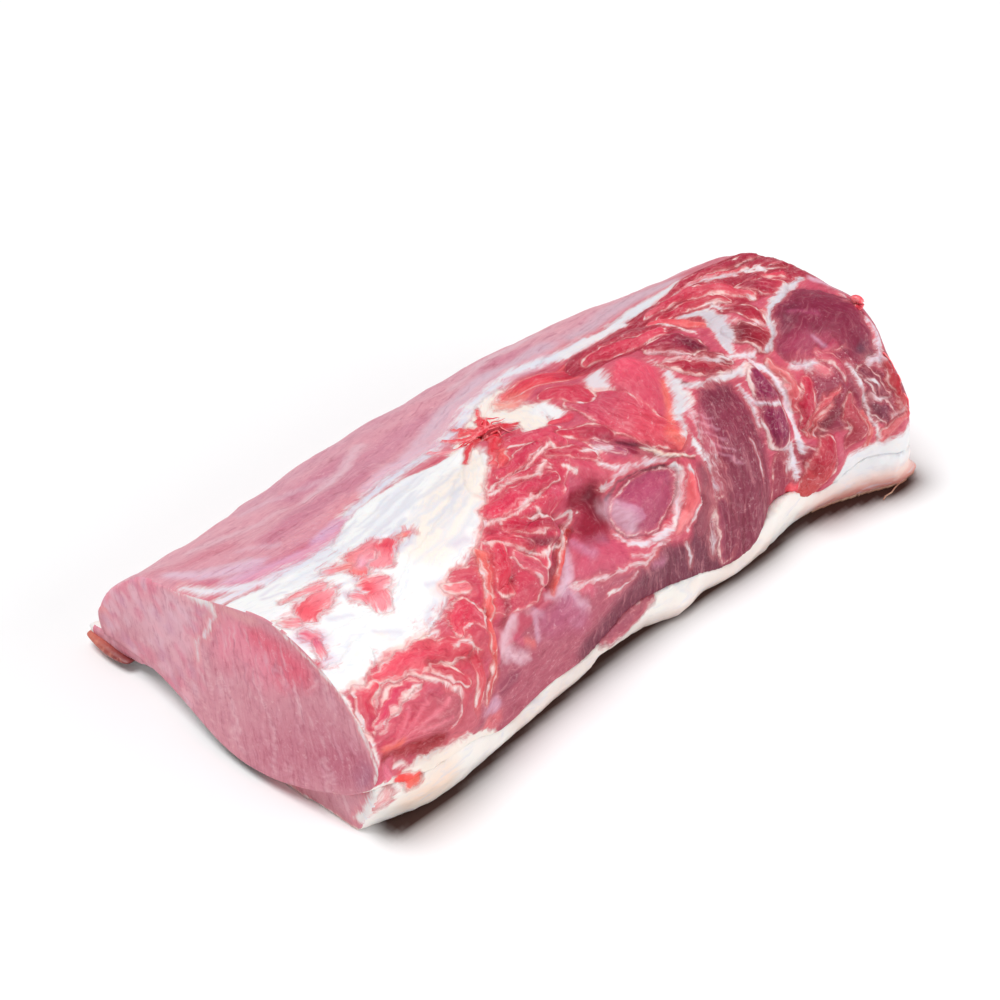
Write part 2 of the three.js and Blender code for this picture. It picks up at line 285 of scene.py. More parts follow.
class Canvas:
    """What a surface carries at each of its points: colours, fat, fibres and height, in mm.
    A stroke's path is a list of places, each with its two map positions and a half width."""

    def __init__(self, across, up, points):
        self.across = across
        self.up = up
        self.coarse = wander(points, 14, 1)
        self.fine = wander(points, 5, 2)
        self.finest = wander(points, 2.2, 3)
        count = len(points)
        self.flesh = np.zeros((count, 3))
        self.tint = np.tile(paint(247, 246, 246), (count, 1))
        self.fat = np.full(count, -4.0)
        self.fibre = np.zeros((count, 3))
        self.streaks = np.full(count, 0.4)
        self.marble = np.zeros(count)
        self.film = np.zeros(count)
        self.height = np.zeros(count)
        self.laid = 0

    def stroke(self, path, wobble):
        """The points near a stroke of varying half width, how deep each lies inside it in mm
        (negative outside), its place across and along the stroke, and the stroke's length."""
        margin = 9
        us, vs, halves = zip(*path)
        reach = max(halves) + margin
        near = np.flatnonzero((self.across > min(us) - reach) & (self.across < max(us) + reach)
                              & (self.up > min(vs) - reach) & (self.up < max(vs) + reach))
        swing = 0.8 * self.coarse[near] + 0.9 * self.fine[near] + 0.5 * self.finest[near]
        u = self.across[near] + wobble * swing[:, 0]
        v = self.up[near] + wobble * swing[:, 1]
        best = np.full(len(u), -1e9)
        side = np.zeros(len(u))
        along = np.zeros(len(u))
        done = 0.0
        for (u0, v0, r0), (u1, v1, r1) in zip(path[:-1], path[1:]):
            length = math.hypot(u1 - u0, v1 - v0)
            du, dv = (u1 - u0) / length, (v1 - v0) / length
            way = (u - u0) * du + (v - v0) * dv
            share = np.clip(way / length, 0, 1)
            off = np.hypot(u - u0 - share * length * du, v - v0 - share * length * dv)
            depth = r0 + share * (r1 - r0) - off
            nearer = depth > best
            best = np.where(nearer, depth, best)
            side = np.where(nearer, (v - v0) * du - (u - u0) * dv, side)
            along = np.where(nearer, done + way, along)
            done += length
        return near, best, side, along, done

    def mix_in(self, name, near, value, share):
        """Blends a value into one of the layers at the points given."""
        layer = getattr(self, name)
        share = share[:, None] if layer.ndim == 2 else share
        layer[near] = layer[near] * (1 - share) + value * share

    def lay_fibres(self, near, side, along, turn):
        """Runs the fibres along a stroke, or at an angle to it, apart from those of any other stroke."""
        self.laid += 1
        angle = math.radians(turn)
        across = side * math.cos(angle) + along * math.sin(angle)
        onward = along * math.cos(angle) - side * math.sin(angle)
        self.fibre[near] = np.stack([across, onward, np.full(len(near), 31.0 * self.laid)], 1)

    def muscle(self, colour, path, edge=None, end=None, rim=0.5, soft=0.5, lift=0.6, groove=0.35,
               streaks=0.5, marble=0.15, wobble=1.0, turn=0, film=0.0, step=0.0):
        """Lays a muscle: its colour, its thin pale skin, its fibres, and its rounded height."""
        near, depth, side, along, length = self.stroke(path, wobble)
        width = max(half for _, _, half in path)
        inside = eased(depth, -soft, soft)
        hue = np.tile(paint(*colour), (len(near), 1))
        if end is not None:
            way = eased(along, 0, length)[:, None]
            hue = hue * (1 - way) + np.array(paint(*end)) * way
        if edge is not None:
            core = eased(depth, 0, 0.8 * width)[:, None]
            hue = np.array(paint(*edge)) * (1 - core) + hue * core
        self.mix_in("flesh", near, hue, eased(depth, -soft - 1.0, soft))
        cleared = np.minimum(self.fat[near], -depth / max(soft, 0.4) * 0.5)
        if rim > 0:
            thread = rim * (0.3 + 2.4 * self.fine[near, 2] + 1.8 * self.coarse[near, 2]) - np.abs(depth - 0.3)
            cleared = np.where(depth > -6, np.maximum(cleared, thread), cleared)
            skin_tint = np.tile(paint(250, 208, 202), (len(near), 1))
            self.mix_in("tint", near, skin_tint, eased(-np.abs(depth), -2.2, -1.2) * 0.8)
        self.fat[near] = cleared
        chosen = depth > -0.3
        self.lay_fibres(near[chosen], side[chosen], along[chosen], turn)
        self.mix_in("streaks", near, streaks, inside)
        self.mix_in("marble", near, marble, inside)
        self.mix_in("film", near, film, inside)
        dome = eased(depth, 0, width) * lift
        ditch = groove * np.exp(-(((depth + 0.9) / 0.9) ** 2))
        self.mix_in("height", near, step + dome - ditch, eased(depth, -2.2, -0.2))

    def fatten(self, tint, path, soft=0.5, lift=0.3, wobble=1.0, colour_only=False):
        """Lays fat or white skin over what is there, or only changes the colour of the fat there."""
        near, depth, side, along, _ = self.stroke(path, wobble)
        if not colour_only:
            self.fat[near] = np.maximum(self.fat[near], depth / max(soft, 0.4) * 0.5)
            width = max(half for _, _, half in path)
            self.height[near] += eased(depth, 0, width) * lift
            if width > 4:
                chosen = depth > 0
                self.lay_fibres(near[chosen], side[chosen], along[chosen], 0)
        share = eased(depth, -soft - 1, soft + 0.5)
        self.mix_in("tint", near, np.tile(paint(*tint), (len(near), 1)), share)

    def muscles(self, rows, **finish):
        """Lays several muscles alike, each with its colour, path, colour at its end, and height."""
        for colour, path, end, lift in rows:
            self.muscle(colour, path, end=end, lift=lift, **finish)

    def skins(self, rows, widen=1, **finish):
        """Lays several white skins, each with its tint, path and softness."""
        for tint, path, soft in rows:
            self.fatten(tint, widened(path, widen), soft=soft, **finish)

    def stains(self, rows):
        """Changes the colour of the flesh in several places, each with its colour, path and softness."""
        for colour, path, soft in rows:
            self.stain(colour, path, soft)

    def veil(self, strength, path, soft=2.0, wobble=1.5):
        """Draws the thin bluish skin over muscle."""
        near, depth, _, _, _ = self.stroke(path, wobble)
        self.mix_in("film", near, strength, eased(depth, -soft, soft))

    def stain(self, colour, path, soft=2.0, wobble=1.0, cover=1.0):
        """Changes the colour of the flesh alone."""
        near, depth, _, _, _ = self.stroke(path, wobble)
        self.mix_in("flesh", near, np.tile(paint(*colour), (len(near), 1)), eased(depth, -soft, soft) * cover)


def store(mesh, name, kind, values):
    """Writes a named value onto the points of a mesh."""
    layer = mesh.attributes.new(name, kind, "POINT")
    if kind == "FLOAT_COLOR":
        values = np.concatenate([values, np.ones((len(values), 1))], 1)
        layer.data.foreach_set("color", values.astype(np.float32).ravel())
    elif kind == "FLOAT_VECTOR":
        layer.data.foreach_set("vector", values.astype(np.float32).ravel())
    else:
        layer.data.foreach_set("value", values.astype(np.float32).ravel())


def arc_of(y, z):
    """How far round the loin a point lies, in mm: 0 faces the boned side, 94 up, 188 the smooth side."""
    turned = np.arctan2(z - AXIS_Z, -y)
    return ARC_RADIUS * np.where(turned < -math.pi / 2, turned + 2 * math.pi, turned)


def cut_finer(mesh, wanted):
    """Halves the spacing of the points where the surface has small features."""
    work = bmesh.new()
    work.from_mesh(mesh)
    work.edges.ensure_lookup_table()
    chosen = sorted({edge.index for face in work.faces if wanted(face) for edge in face.edges})
    edges = [work.edges[i] for i in chosen]
    bmesh.ops.subdivide_edges(work, edges=edges, cuts=1, use_grid_fill=True)
    work.to_mesh(mesh)
    work.free()


def is_ragged(face):
    """Whether a face lies on the clean slice or round the boned side, where the detail is fine."""
    middle = face.calc_center_median() / MM
    return face.normal.x < -0.7 and middle.x < CUT_X or -26 < arc_of(middle.y, middle.z) < 128


lean = refined(lean_cad, "lean_meat", 2, math.radians(42))
cut_finer(lean.data, is_ragged)
points = read_points(lean.data)
normals = read_normals(lean.data)
arc = arc_of(points[:, 1], points[:, 2])

# The skin is painted on a map: X along the loin, and the arc round it. Later strokes lie over earlier ones.
WHITE, CREAM, BLUISH = (247, 246, 246), (248, 236, 226), (224, 220, 234)
skin = Canvas(points[:, 0], arc, points)

# The smooth side is the eye muscle under its own thin skin, which is bluish where it is thick.
# The knife hardly touched it, so it is pale rose with faint fibres all along the loin.
skin.muscle((204, 92, 112), [(-170, 90, 130), (170, 90, 130)], rim=0, lift=0, groove=0, wobble=0)
skin.muscle((219, 143, 157), [(-175, 170, 62), (-90, 166, 62), (-40, 172, 58), (0, 178, 52), (60, 184, 52),
            (175, 184, 56)], rim=0, soft=5, lift=0, groove=0, streaks=0.8, marble=0.3, film=0.3)
skin.stains([
    ((200, 108, 132), [(-112, 128, 5), (-90, 134, 8), (-62, 136, 8)], 5),
    ((202, 112, 136), [(-84, 155, 5), (-54, 154, 6)], 5),
    ((212, 112, 130), [(-150, 156, 3), (-123, 148, 5)], 4),
    ((206, 122, 144), [(-60, 142, 6), (-30, 149, 6), (-12, 149, 4)], 4),
    ((205, 110, 134), [(20, 158, 3), (46, 148, 4)], 3),
    ((208, 128, 148), [(-90, 172, 8), (60, 172, 8)], 8),
    ((226, 186, 206), [(-149, 148, 2), (-140, 130, 4), (-128, 116, 6)], 3),
    ((226, 184, 206), [(-142, 110, 8), (-128, 98, 9), (-110, 94, 7), (-94, 94, 6)], 4),
    ((222, 192, 216), [(-102, 102, 5), (-90, 107, 6), (-80, 100, 7)], 3),
    ((224, 198, 218), [(-66, 122, 4), (-48, 126, 6), (-28, 126, 7), (-6, 134, 7), (16, 138, 6),
                       (40, 130, 5)], 4),
    ((210, 170, 186), [(-28, 134, 4), (-8, 142, 6), (22, 146, 6), (48, 138, 5)], 4),
    ((208, 166, 180), [(62, 132, 5), (90, 130, 6), (112, 122, 5)], 4),
    ((224, 176, 186), [(-130, 162, 2), (-104, 152, 1.4), (-92, 150, 1)], 3),
    ((226, 186, 196), [(-84, 146, 1.4), (-60, 150, 2.4), (-42, 158, 1.6)], 3),
    ((222, 178, 188), [(10, 156, 1.6), (34, 160, 3), (60, 156, 2)], 3),
    ((208, 98, 128), [(-148, 131, 2), (-144, 123, 2.5)], 2)])
skin.veil(0.9, [(-150, 150, 1.5), (-140, 138, 2), (-126, 124, 2)], 1.5)
skin.veil(0.95, [(-36, 130, 7), (-15, 138, 6), (18, 146, 4), (28, 141, 4)], 4)
skin.veil(0.8, [(-98, 168, 1.5), (-82, 160, 2), (-68, 152, 1.5)])
skin.veil(0.8, [(-124, 136, 1.5), (-114, 122, 2)])
skin.veil(0.5, [(50, 138, 8), (100, 128, 9), (116, 120, 6)], 5)
skin.fatten((238, 230, 240), [(-152, 134, 1.2), (-150, 114, 2.6), (-145, 102, 3.4), (-136, 88, 4)], soft=2.4)
skin.fatten((240, 230, 238), [(-156, 98, 4), (-142, 93, 5), (-126, 89, 4)], soft=4)
skin.fatten((234, 220, 232), [(-146, 92, 2), (-126, 90, 3), (-106, 88, 3), (-90, 94, 3)], soft=4)
skin.fatten(BLUISH, [(-84, 110, 3), (-66, 114, 5), (-50, 120, 4), (-34, 120, 3.4)], soft=4)
skin.fatten(BLUISH, [(-24, 124, 3.4), (0, 131, 4), (16, 134, 3.6)], soft=4)
skin.fatten((228, 226, 236), [(23, 137, 2), (33, 133, 3), (44, 125, 4), (60, 124, 4)], soft=2)
skin.fatten((228, 228, 234), [(70, 119, 3), (84, 118, 4.2), (98, 114, 4.4), (108, 110, 2)], soft=2)

# White fat and skin lie over the top of the near half, thickest near the cut face.
# Thin slips of muscle show through it like petals.
skin.fatten((232, 228, 240), [(-140, 82, 5), (-124, 84, 6), (-100, 82, 6)], soft=3)
skin.fatten(WHITE, [(-153, 66, 25), (-138, 62, 22), (-124, 60, 23), (-100, 62, 20), (-84, 74, 25),
                    (-72, 82, 27), (-57, 88, 20), (-38, 96, 9)], soft=2, lift=0.8)
skin.fatten(WHITE, [(-148, 40, 6), (-124, 38, 8), (-104, 40, 8), (-88, 48, 9), (-70, 54, 9), (-50, 66, 8),
                    (-34, 80, 8)], soft=3, lift=0.4)
skin.skins([
    (CREAM, [(-84, 56, 9), (-62, 68, 11), (-48, 76, 9)], 5),
    ((230, 230, 240), [(-88, 84, 2), (-66, 96, 4), (-52, 100, 2)], 5),
    ((232, 234, 242), [(-96, 74, 1.6), (-70, 82, 3)], 4),
    ((232, 232, 240), [(-132, 76, 2), (-106, 80, 2)], 4),
    ((222, 210, 222), [(-75, 50, 1.6), (-70, 50, 1.6)], 2.4),
    ((228, 214, 222), [(-95, 38, 2), (-90, 39, 2)], 3),
    ((226, 200, 216), [(-152, 50, 3), (-147, 47, 3)], 3),
    ((224, 206, 224), [(-151, 37, 4), (-149, 35, 4)], 3),
    ((240, 206, 200), [(-31, 95, 0.5), (-49, 71, 0.5), (-55, 57, 0.5)], 0.6)], colour_only=True)
dice = np.random.default_rng(31)
for _ in range(34):
    x, up = dice.uniform(-92, -34), dice.uniform(58, 100)
    grey = dice.uniform(0, 1)
    skin.fatten((214 + 16 * grey, 212 + 16 * grey, 222 + 12 * grey),
                [(x, up, 0.2), (x - 9, up - 5, 0.5), (x - 19 - 8 * grey, up - 8, 0.2)],
                soft=1, colour_only=True)
for _ in range(22):
    x, up = dice.uniform(-140, -82), dice.uniform(34, 82)
    skin.fatten((220, 214, 226), [(x, up, 0.2), (x - 8, up + dice.uniform(-5, 5), 0.5)], soft=1,
                colour_only=True)
petals = [
    ((244, 100, 112), [(-142, 58, 3.6), (-133, 60, 3.4), (-126, 61, 1)], 1.4),
    ((240, 160, 156), [(-144, 69, 0.8), (-128, 66, 2.4)], 1.8),
    ((236, 160, 158), [(-151, 59, 2), (-149, 57, 2)], 2.2),
    ((226, 112, 138), [(-150, 51, 1.6), (-148, 48, 1.6)], 1.3),
    ((222, 122, 150), [(-149, 46, 1.2), (-151, 42, 1.4)], 1.3),
    ((246, 165, 168), [(-123, 54, 1.6), (-119, 51, 2)], 1.6),
    ((244, 136, 142), [(-113, 53, 4.2), (-117, 46, 3)], 1.6),
    ((244, 92, 108), [(-116, 55, 3), (-110, 53, 3)], 1.4),
    ((246, 140, 132), [(-112, 62, 3), (-106, 69, 4), (-98, 69, 4)], 1.8),
    ((240, 84, 104), [(-94, 66, 3.2), (-103, 60, 3)], 1.2),
    ((246, 205, 216), [(-109, 64, 1.6), (-101, 67, 1.6)], 1.2),
    ((248, 180, 165), [(-114, 68, 2.4), (-119, 71, 2.2)], 2.2),
    ((245, 150, 130), [(-86, 66, 1.5), (-84, 66, 1.5)], 1.4)]
for colour, path, soft in petals:
    skin.muscle(colour, widened(path, 1.3), end=(248, 170, 172), rim=0, soft=1.5 * soft, lift=0.3,
                groove=0, streaks=0.9, marble=0.1, wobble=1.2)

# The wall below is the side of the rib meat, cut straight down with the knife.
# It is dusty rose, with slips of white skin left on it.
skin.muscle((180, 97, 112), [(-112, -4, 10), (-80, -3, 14), (-40, -2, 18), (0, 0, 16), (60, 0, 16)], rim=0,
            lift=0, groove=0, streaks=0.7, marble=0.3)
skin.muscle((208, 94, 118), [(-30, 18, 4), (-22, 20, 5), (-9, 13, 5), (8, 9, 3)], rim=0, soft=2, groove=0)
skin.muscle((120, 54, 74), [(-34, -12, 7), (0, -9, 14), (26, -7, 15), (38, -8, 13)], rim=0, soft=4.5, lift=0,
            groove=0, streaks=0.9, turn=90)
skin.stains([
    ((204, 138, 160), [(-30, 27, 1.6), (-24, 21, 2)], 2.6),
    ((200, 132, 156), [(-22, 26, 1.2), (-14, 22, 1.6)], 2.6),
    ((222, 124, 126), [(-98, -6, 3), (-92, -7, 3)], 3),
    ((196, 136, 156), [(4, 4, 1.4), (9, 3, 1.4)], 2.4)])
wall_films = [
    ((236, 222, 222), [(-62, 18, 1), (-70, 23, 1.8), (-76, 17, 2.2), (-82, 12, 1.8), (-76, 7, 1.4),
                       (-71, 6, 0.6)]),
    ((222, 196, 208), [(-58, 13, 0.8), (-62, 15, 1.4), (-64, 9, 1.2)]),
    ((236, 220, 224), [(-40, 17, 1.8), (-46, 17, 2), (-52, 18, 0.8)]),
    ((232, 212, 218), [(-34, 7, 0.8), (-39, 5, 1.4), (-46, 6, 0.8)]),
    ((232, 216, 224), [(-34, 30, 0.8), (-37, 22, 1.6), (-42, 15, 2), (-38, 9, 1.6)]),
    ((212, 182, 198), [(-99, 2, 1.4), (-92, -2, 2)])]
for tint, path in wall_films:
    skin.stain(tint, widened(path, 1.3), 2.2, wobble=2, cover=0.85)
    skin.fatten(tint, widened(path, 0.3), soft=1.6, wobble=2, colour_only=True)
skin.stain((196, 132, 156), [(-48, 12, 2), (-42, 11, 2)], 3)
skin.skins([
    ((238, 190, 196), [(-40, 15, 0.4), (-26, 12, 0.4), (-20, 11, 0.6), (-9, 9, 0.5), (0, 6.5, 0.7),
                       (6, 8, 0.6), (15, 9.5, 0.7)], 0.8),
    ((226, 196, 204), [(-6, 5, 0.4), (-16, 4, 0.5), (-24, 6, 0.4)], 0.6),
    ((224, 196, 206), [(24, 4, 0.4), (25, -7, 0.5)], 0.8),
    ((206, 176, 192), [(48, 27, 1.8), (48, 20, 1.6), (43, 13, 1.2), (40, 5, 0.8), (39, -6, 0.4)], 2),
    ((206, 166, 184), [(47, 17, 0.6), (53, 10, 0.4), (58, 3, 0.4)], 1)], widen=0.7)
skin.stain((186, 104, 132), [(-58, 10, 4), (-48, 9, 5), (-40, 4, 4)], 4, cover=0.8)
skin.stains([
    ((204, 92, 118), [(-74, 13, 1.2), (-72, 11, 1.4)], 1.4),
    ((222, 126, 122), [(-70, 10, 1.2), (-68, 8, 1.4)], 1.4),
    ((214, 110, 130), [(-35, 13, 1.4), (-31, 11, 2)], 1.6)])
skin.muscle((142, 62, 84), [(46, 8, 4.6), (48, -1, 6), (46, -9, 5)], edge=(164, 84, 104), rim=0.2, lift=1.2)

# At the near corner the rib meat is ragged: short bundles that the knife opened, bright red and pink.
# White skins hold them together, and a cut vessel shows as a bright dot in the fat.
skin.fatten(CREAM, [(-156, -8, 9), (-130, -6, 7), (-117, -4, 6), (-106, -9, 5), (-94, -15, 4)], lift=0.8)
skin.fatten(WHITE, [(-156, 34, 5), (-148, 33, 4), (-138, 36, 4)], soft=1.6)
skin.muscle((200, 104, 114), [(-132, 4, 3), (-120, 3, 4), (-108, 4, 5)], rim=0, soft=1.8, marble=0.1)
skin.muscle((208, 90, 104), [(-116, 10, 5), (-108, 18, 8), (-96, 20, 6)], rim=0, soft=1.4)
skin.fatten((244, 224, 222), [(-155, 30, 0.9), (-155, 10, 0.7)], soft=0.8)
near_pieces = [
    # The first piece is painted shade: a dark crimson line, sunk a little, in the crevice under the fan.
    ((166, 40, 52), [(-151, 9.5, 1.2), (-140, 6.5, 2), (-129, 2.5, 2.4), (-123, 3, 1.6)], None, 0, -0.6),
    ((240, 92, 110), [(-139, 28.5, 2), (-127, 28, 3.6), (-114, 26, 4.4), (-100, 22, 3.6)], (216, 78, 94),
     0.4, 1.3),
    ((238, 88, 106), [(-142, 27, 1.6), (-149, 26.5, 3.2), (-152, 20, 2.4)], (196, 46, 78), 0.5, 1.2),
    ((222, 66, 104), [(-151, 19, 1.2), (-141, 22, 2.4), (-131, 23, 1.8), (-125, 22, 0.9)], (206, 60, 92),
     0.5, 1.2),
    ((220, 88, 106), [(-151, 13.5, 1.2), (-139, 14, 3.8), (-126, 12, 5.6), (-116, 10.5, 4)], (194, 108, 116),
     0.0, 1.5),
    ((192, 34, 66), [(-118, 23, 1.4), (-112, 18.5, 2.2), (-106, 14, 1.6)], (210, 66, 84), 0.3, 0.5),
    ((214, 76, 90), [(-97, 18, 2.6), (-99, 11, 3), (-104, 6, 2)], (214, 96, 100), 0.4, 1.0),
    ((222, 104, 92), [(-88, 15, 1.2), (-91, 8, 1.5), (-99, 3.5, 1.2)], (206, 96, 92), 0.4, 0.8),
    ((232, 132, 150), [(-150, 5, 1.2), (-149, 1.5, 1.6)], None, 0, 0.4)]
for colour, path, end, rim, lift in near_pieces:
    skin.muscle(colour, path, end=end, rim=0.7 * rim, soft=1.1, lift=lift, streaks=0.9, marble=0.15,
                wobble=1.3)
for tip_x, tip_arc in ((-135, 18), (-127, 17), (-118, 14), (-120, 10), (-129, 8)):
    skin.stain((240, 150, 158), [(-150, 12.5, 0.1), (tip_x, tip_arc, 0.6)], 0.7, wobble=0.5, cover=0.7)
# A slit in the wall is painted dark as shade.
skin.stain((150, 68, 90), [(-80, 3, 2), (-88, 2, 2)], 2)
skin.stain((238, 120, 100), [(-151, 12, 0.8), (-143, 11, 1.6)], 1.6)
near_threads = [
    [(-126, 24.5, 1.2), (-121, 21, 1.4), (-116, 17.5, 1.1), (-111.5, 13.5, 0.8), (-113, 9, 0.5),
     (-118, 5.5, 0.3)],
    [(-151, 17, 0.4), (-144, 19, 0.6), (-136, 20, 0.6), (-126, 21, 0.6)],
    [(-149, 22, 0.3), (-143, 25, 0.7), (-136, 26, 0.6), (-128, 25, 0.7)],
    [(-145, 4, 1.4), (-140, 1.5, 1.2)],
    [(-106, 24, 0.6), (-100, 24.5, 0.8), (-94, 19, 0.5)]]
for path in near_threads:
    skin.fatten((246, 212, 208), widened(path, 0.6), lift=0.4, soft=0.8)


def near_corner_fat(canvas):
    """The fat at the near corner with its vessel lies partly on each layer."""
    canvas.fatten((252, 226, 208), [(-138, -12, 5), (-122, -11, 5)], soft=5, colour_only=True)
    canvas.muscle((238, 176, 178), [(-153, -7, 2.4), (-150, -6, 2.4)], rim=0, soft=2.4, lift=0.2, groove=0)
    canvas.muscle((250, 74, 62), [(-144, -1, 1.8), (-140, -3.6, 3), (-136, -4.4, 2)], end=(252, 110, 90),
                  rim=0, soft=0.9, lift=0.7, groove=0, streaks=0.1)


near_corner_fat(skin)

# The ragged column is where the ribs came away, and its muscle hangs in short overlapping flakes.
# Each flake is raised at its free end, and a thread of white skin runs along its edge.
skin.muscle((210, 72, 96), [(-62, 34, 12), (-44, 48, 14), (-20, 66, 15), (-12, 84, 8)], rim=0.3, soft=1.5,
            marble=0.4)
skin.muscle((206, 76, 96), [(-84, 34, 8), (-72, 30, 9), (-60, 26, 8)], rim=0.3, soft=1.5, marble=0.4)
skin.fatten(CREAM, [(-31, 90, 3), (-41, 76, 4.4), (-50, 66, 3)], soft=2)
skin.muscle((212, 92, 112), [(-8, 52, 4), (-4, 42, 4)], rim=0, soft=2.5)
# The hollow beside the eye dips in and is painted dark red as shade, darker still at its deepest.
skin.muscle((150, 34, 58), [(-17, 41, 4), (-9, 37, 6), (-11, 29, 6.5), (-21, 28, 4)], rim=0, soft=3.5,
            groove=0, lift=-1.0, marble=0)
skin.stain((128, 30, 52), [(-8, 38, 3), (-10, 30, 3)], 3)
skin.stain((214, 100, 124), [(-26, 47, 2), (-18, 46, 2), (-12, 45, 1.5)], 3, cover=0.7)
skin.muscle((176, 54, 54), [(-27, 32, 1.6), (-38, 29, 2.2), (-49, 23, 2.2)], end=(150, 44, 58), rim=0,
            groove=1.2)
skin.muscles([
    ((222, 72, 72), [(-33, 30, 1.2), (-42, 25, 1.6), (-48, 19, 1.4)], (230, 104, 90), 1.0),
    ((214, 66, 92), [(-25, 80, 3), (-14, 76, 6), (-4, 71, 5), (-8, 64, 3.4)], (220, 84, 108), 1.6),
    ((240, 112, 104), [(-26, 78, 2.4), (-31, 71, 2.4), (-36, 64, 1.8)], (236, 96, 100), 1.0),
    ((216, 68, 96), [(-38, 65.5, 2), (-26, 67, 3.6), (-16, 69, 2.4)], (206, 62, 90), 1.5),
    ((204, 56, 84), [(-42, 61.5, 1.6), (-31, 60, 2.2), (-20, 58, 1.8)], (196, 62, 90), 1.2),
    ((224, 58, 90), [(-56, 53, 3), (-44, 53.5, 4), (-32, 53.5, 3.6), (-22, 53, 2.4)], (204, 66, 92), 1.8),
    ((196, 58, 82), [(-14, 62, 2), (-6, 57, 3.2), (1, 51, 2.4)], (206, 76, 98), 1.2),
    ((206, 48, 78), [(-54, 46, 3), (-46, 42, 4), (-38, 40, 3.4)], (178, 46, 72), 1.6),
    ((226, 84, 104), [(-63, 44, 2.4), (-57, 40, 3), (-52, 36, 2)], (206, 66, 88), 1.5),
    ((216, 96, 114), [(-60, 35, 2.2), (-56, 30, 3.2), (-53, 25, 2.2)], (206, 96, 112), 1.2),
    ((220, 56, 84), [(-64, 42, 2.4), (-68, 35, 3.6), (-73, 29, 3.2)], (212, 60, 80), 1.6),
    ((240, 122, 104), [(-70, 43, 1.4), (-75, 36, 1.6), (-81, 30, 1.4)], (226, 92, 84), 1.0),
    ((244, 120, 108), [(-81, 30, 1.6), (-86, 23, 2), (-88, 16, 1.8)], (226, 92, 84), 1.2),
    ((244, 160, 156), [(-92, 38, 2), (-87, 36, 2.4)], (236, 130, 134), 0.9),
    ((228, 66, 92), [(-99, 28, 2.6), (-92, 30, 4), (-88, 26, 2.8)], (214, 70, 92), 1.4)],
    rim=0.3, step=0.5, groove=0.6, streaks=0.95, marble=0.35, wobble=1.5, soft=0.9)
# A small patch of painted shade lies below the column.
skin.stain((156, 44, 64), [(-75, 26, 1.4), (-79, 20, 1.6)], 2)
skin.stain((146, 34, 60), [(-52, 38, 1.4), (-45, 34.5, 2), (-39, 32.5, 1.4)], 1.6)
skin.stain((112, 26, 48), [(-13, 92, 0.6), (-3, 90, 0.8), (7, 82, 0.6)], 0.6)
threads = [
    [(-47, 62, 1), (-37, 63, 0.7), (-27, 61.5, 1), (-17, 65, 1.2), (-11, 66, 1), (-11, 62, 0.8),
     (-4, 59, 0.8)],
    [(-49, 60, 1.4), (-40, 59.5, 0.9), (-34, 59, 0.8), (-26, 56.5, 1.2), (-18, 60, 0.8)],
    [(-61, 50, 1.2), (-49, 48, 0.8), (-41, 49.5, 0.8), (-36, 50.5, 1), (-33, 48, 0.6)],
    [(-39, 46, 0.6), (-38, 42, 0.9), (-29, 37.5, 0.7), (-20, 37, 0.7), (-24, 33.5, 0.6), (-36, 31.5, 0.5)],
    [(-66, 45, 0.8), (-58, 38, 0.8), (-50, 31.5, 1), (-45, 31, 0.9), (-37, 30, 0.5)],
    [(-52, 28, 0.7), (-51, 24, 0.8), (-55, 21, 0.5)],
    [(-72, 41, 0.9), (-76, 36, 0.8), (-82, 31, 0.6)],
    [(-15, 54, 1.6), (-12, 49.5, 1.3)],
    [(3, 67, 0.7), (2, 59, 1), (3, 54, 1.4), (7, 52, 1)],
    [(-18, 35, 0.5), (-17, 35, 0.5)]]
for path in threads:
    skin.fatten((246, 208, 206), widened(path, 0.6), lift=0.4, soft=0.7)

# Above the column the fat is torn, and a tuft of loose red threads stands out of it.
# The skin here is creamy, between the tuft and the big lobe.
skin.fatten(CREAM, [(-28, 104, 6), (-10, 114, 9), (2, 124, 7), (12, 128, 3)], soft=2.4, lift=0.6)
skin.fatten(CREAM, [(0, 84, 6), (3, 98, 7), (2, 112, 7)], soft=1.6, lift=0.5)
skin.fatten((240, 238, 240), [(8, 80, 3), (8, 92, 4)], soft=1.6, lift=0.3)
skin.muscle((236, 150, 160), [(-34, 122, 1.4), (-30, 108, 1.8), (-26, 100, 1.4)], rim=0, soft=1.6)
skin.muscle((244, 178, 160), [(6, 122, 3), (8, 110, 3)], rim=0, soft=3, groove=0, lift=0)
tuft = [
    ((234, 50, 66), [(-14, 104, 2.4), (-9, 114, 1.8), (-2, 129, 0.9)]),
    ((214, 36, 54), [(-14, 104, 2.4), (-20, 101, 1.8), (-28, 95, 1.8), (-36, 87, 0.9)]),
    ((228, 56, 72), [(-14, 100, 2.6), (-21, 86, 2), (-34, 73, 0.9)]),
    ((240, 88, 96), [(-14, 106, 1.8), (-17, 117, 1.3), (-15, 129, 0.6)]),
    ((236, 70, 84), [(-16, 106, 1.8), (-21, 112, 1.3), (-24, 125, 0.7)]),
    ((222, 60, 72), [(-12, 100, 2), (-8, 97, 1.6), (-3, 95, 0.8)]),
    ((176, 26, 46), [(-17, 99, 1.3), (-12, 97, 1.5)])]
for colour, path in tuft:
    skin.muscle(colour, widened(path, 1.25), rim=0, soft=0.9, lift=1.4, groove=0.3, streaks=0.95, wobble=1.8)

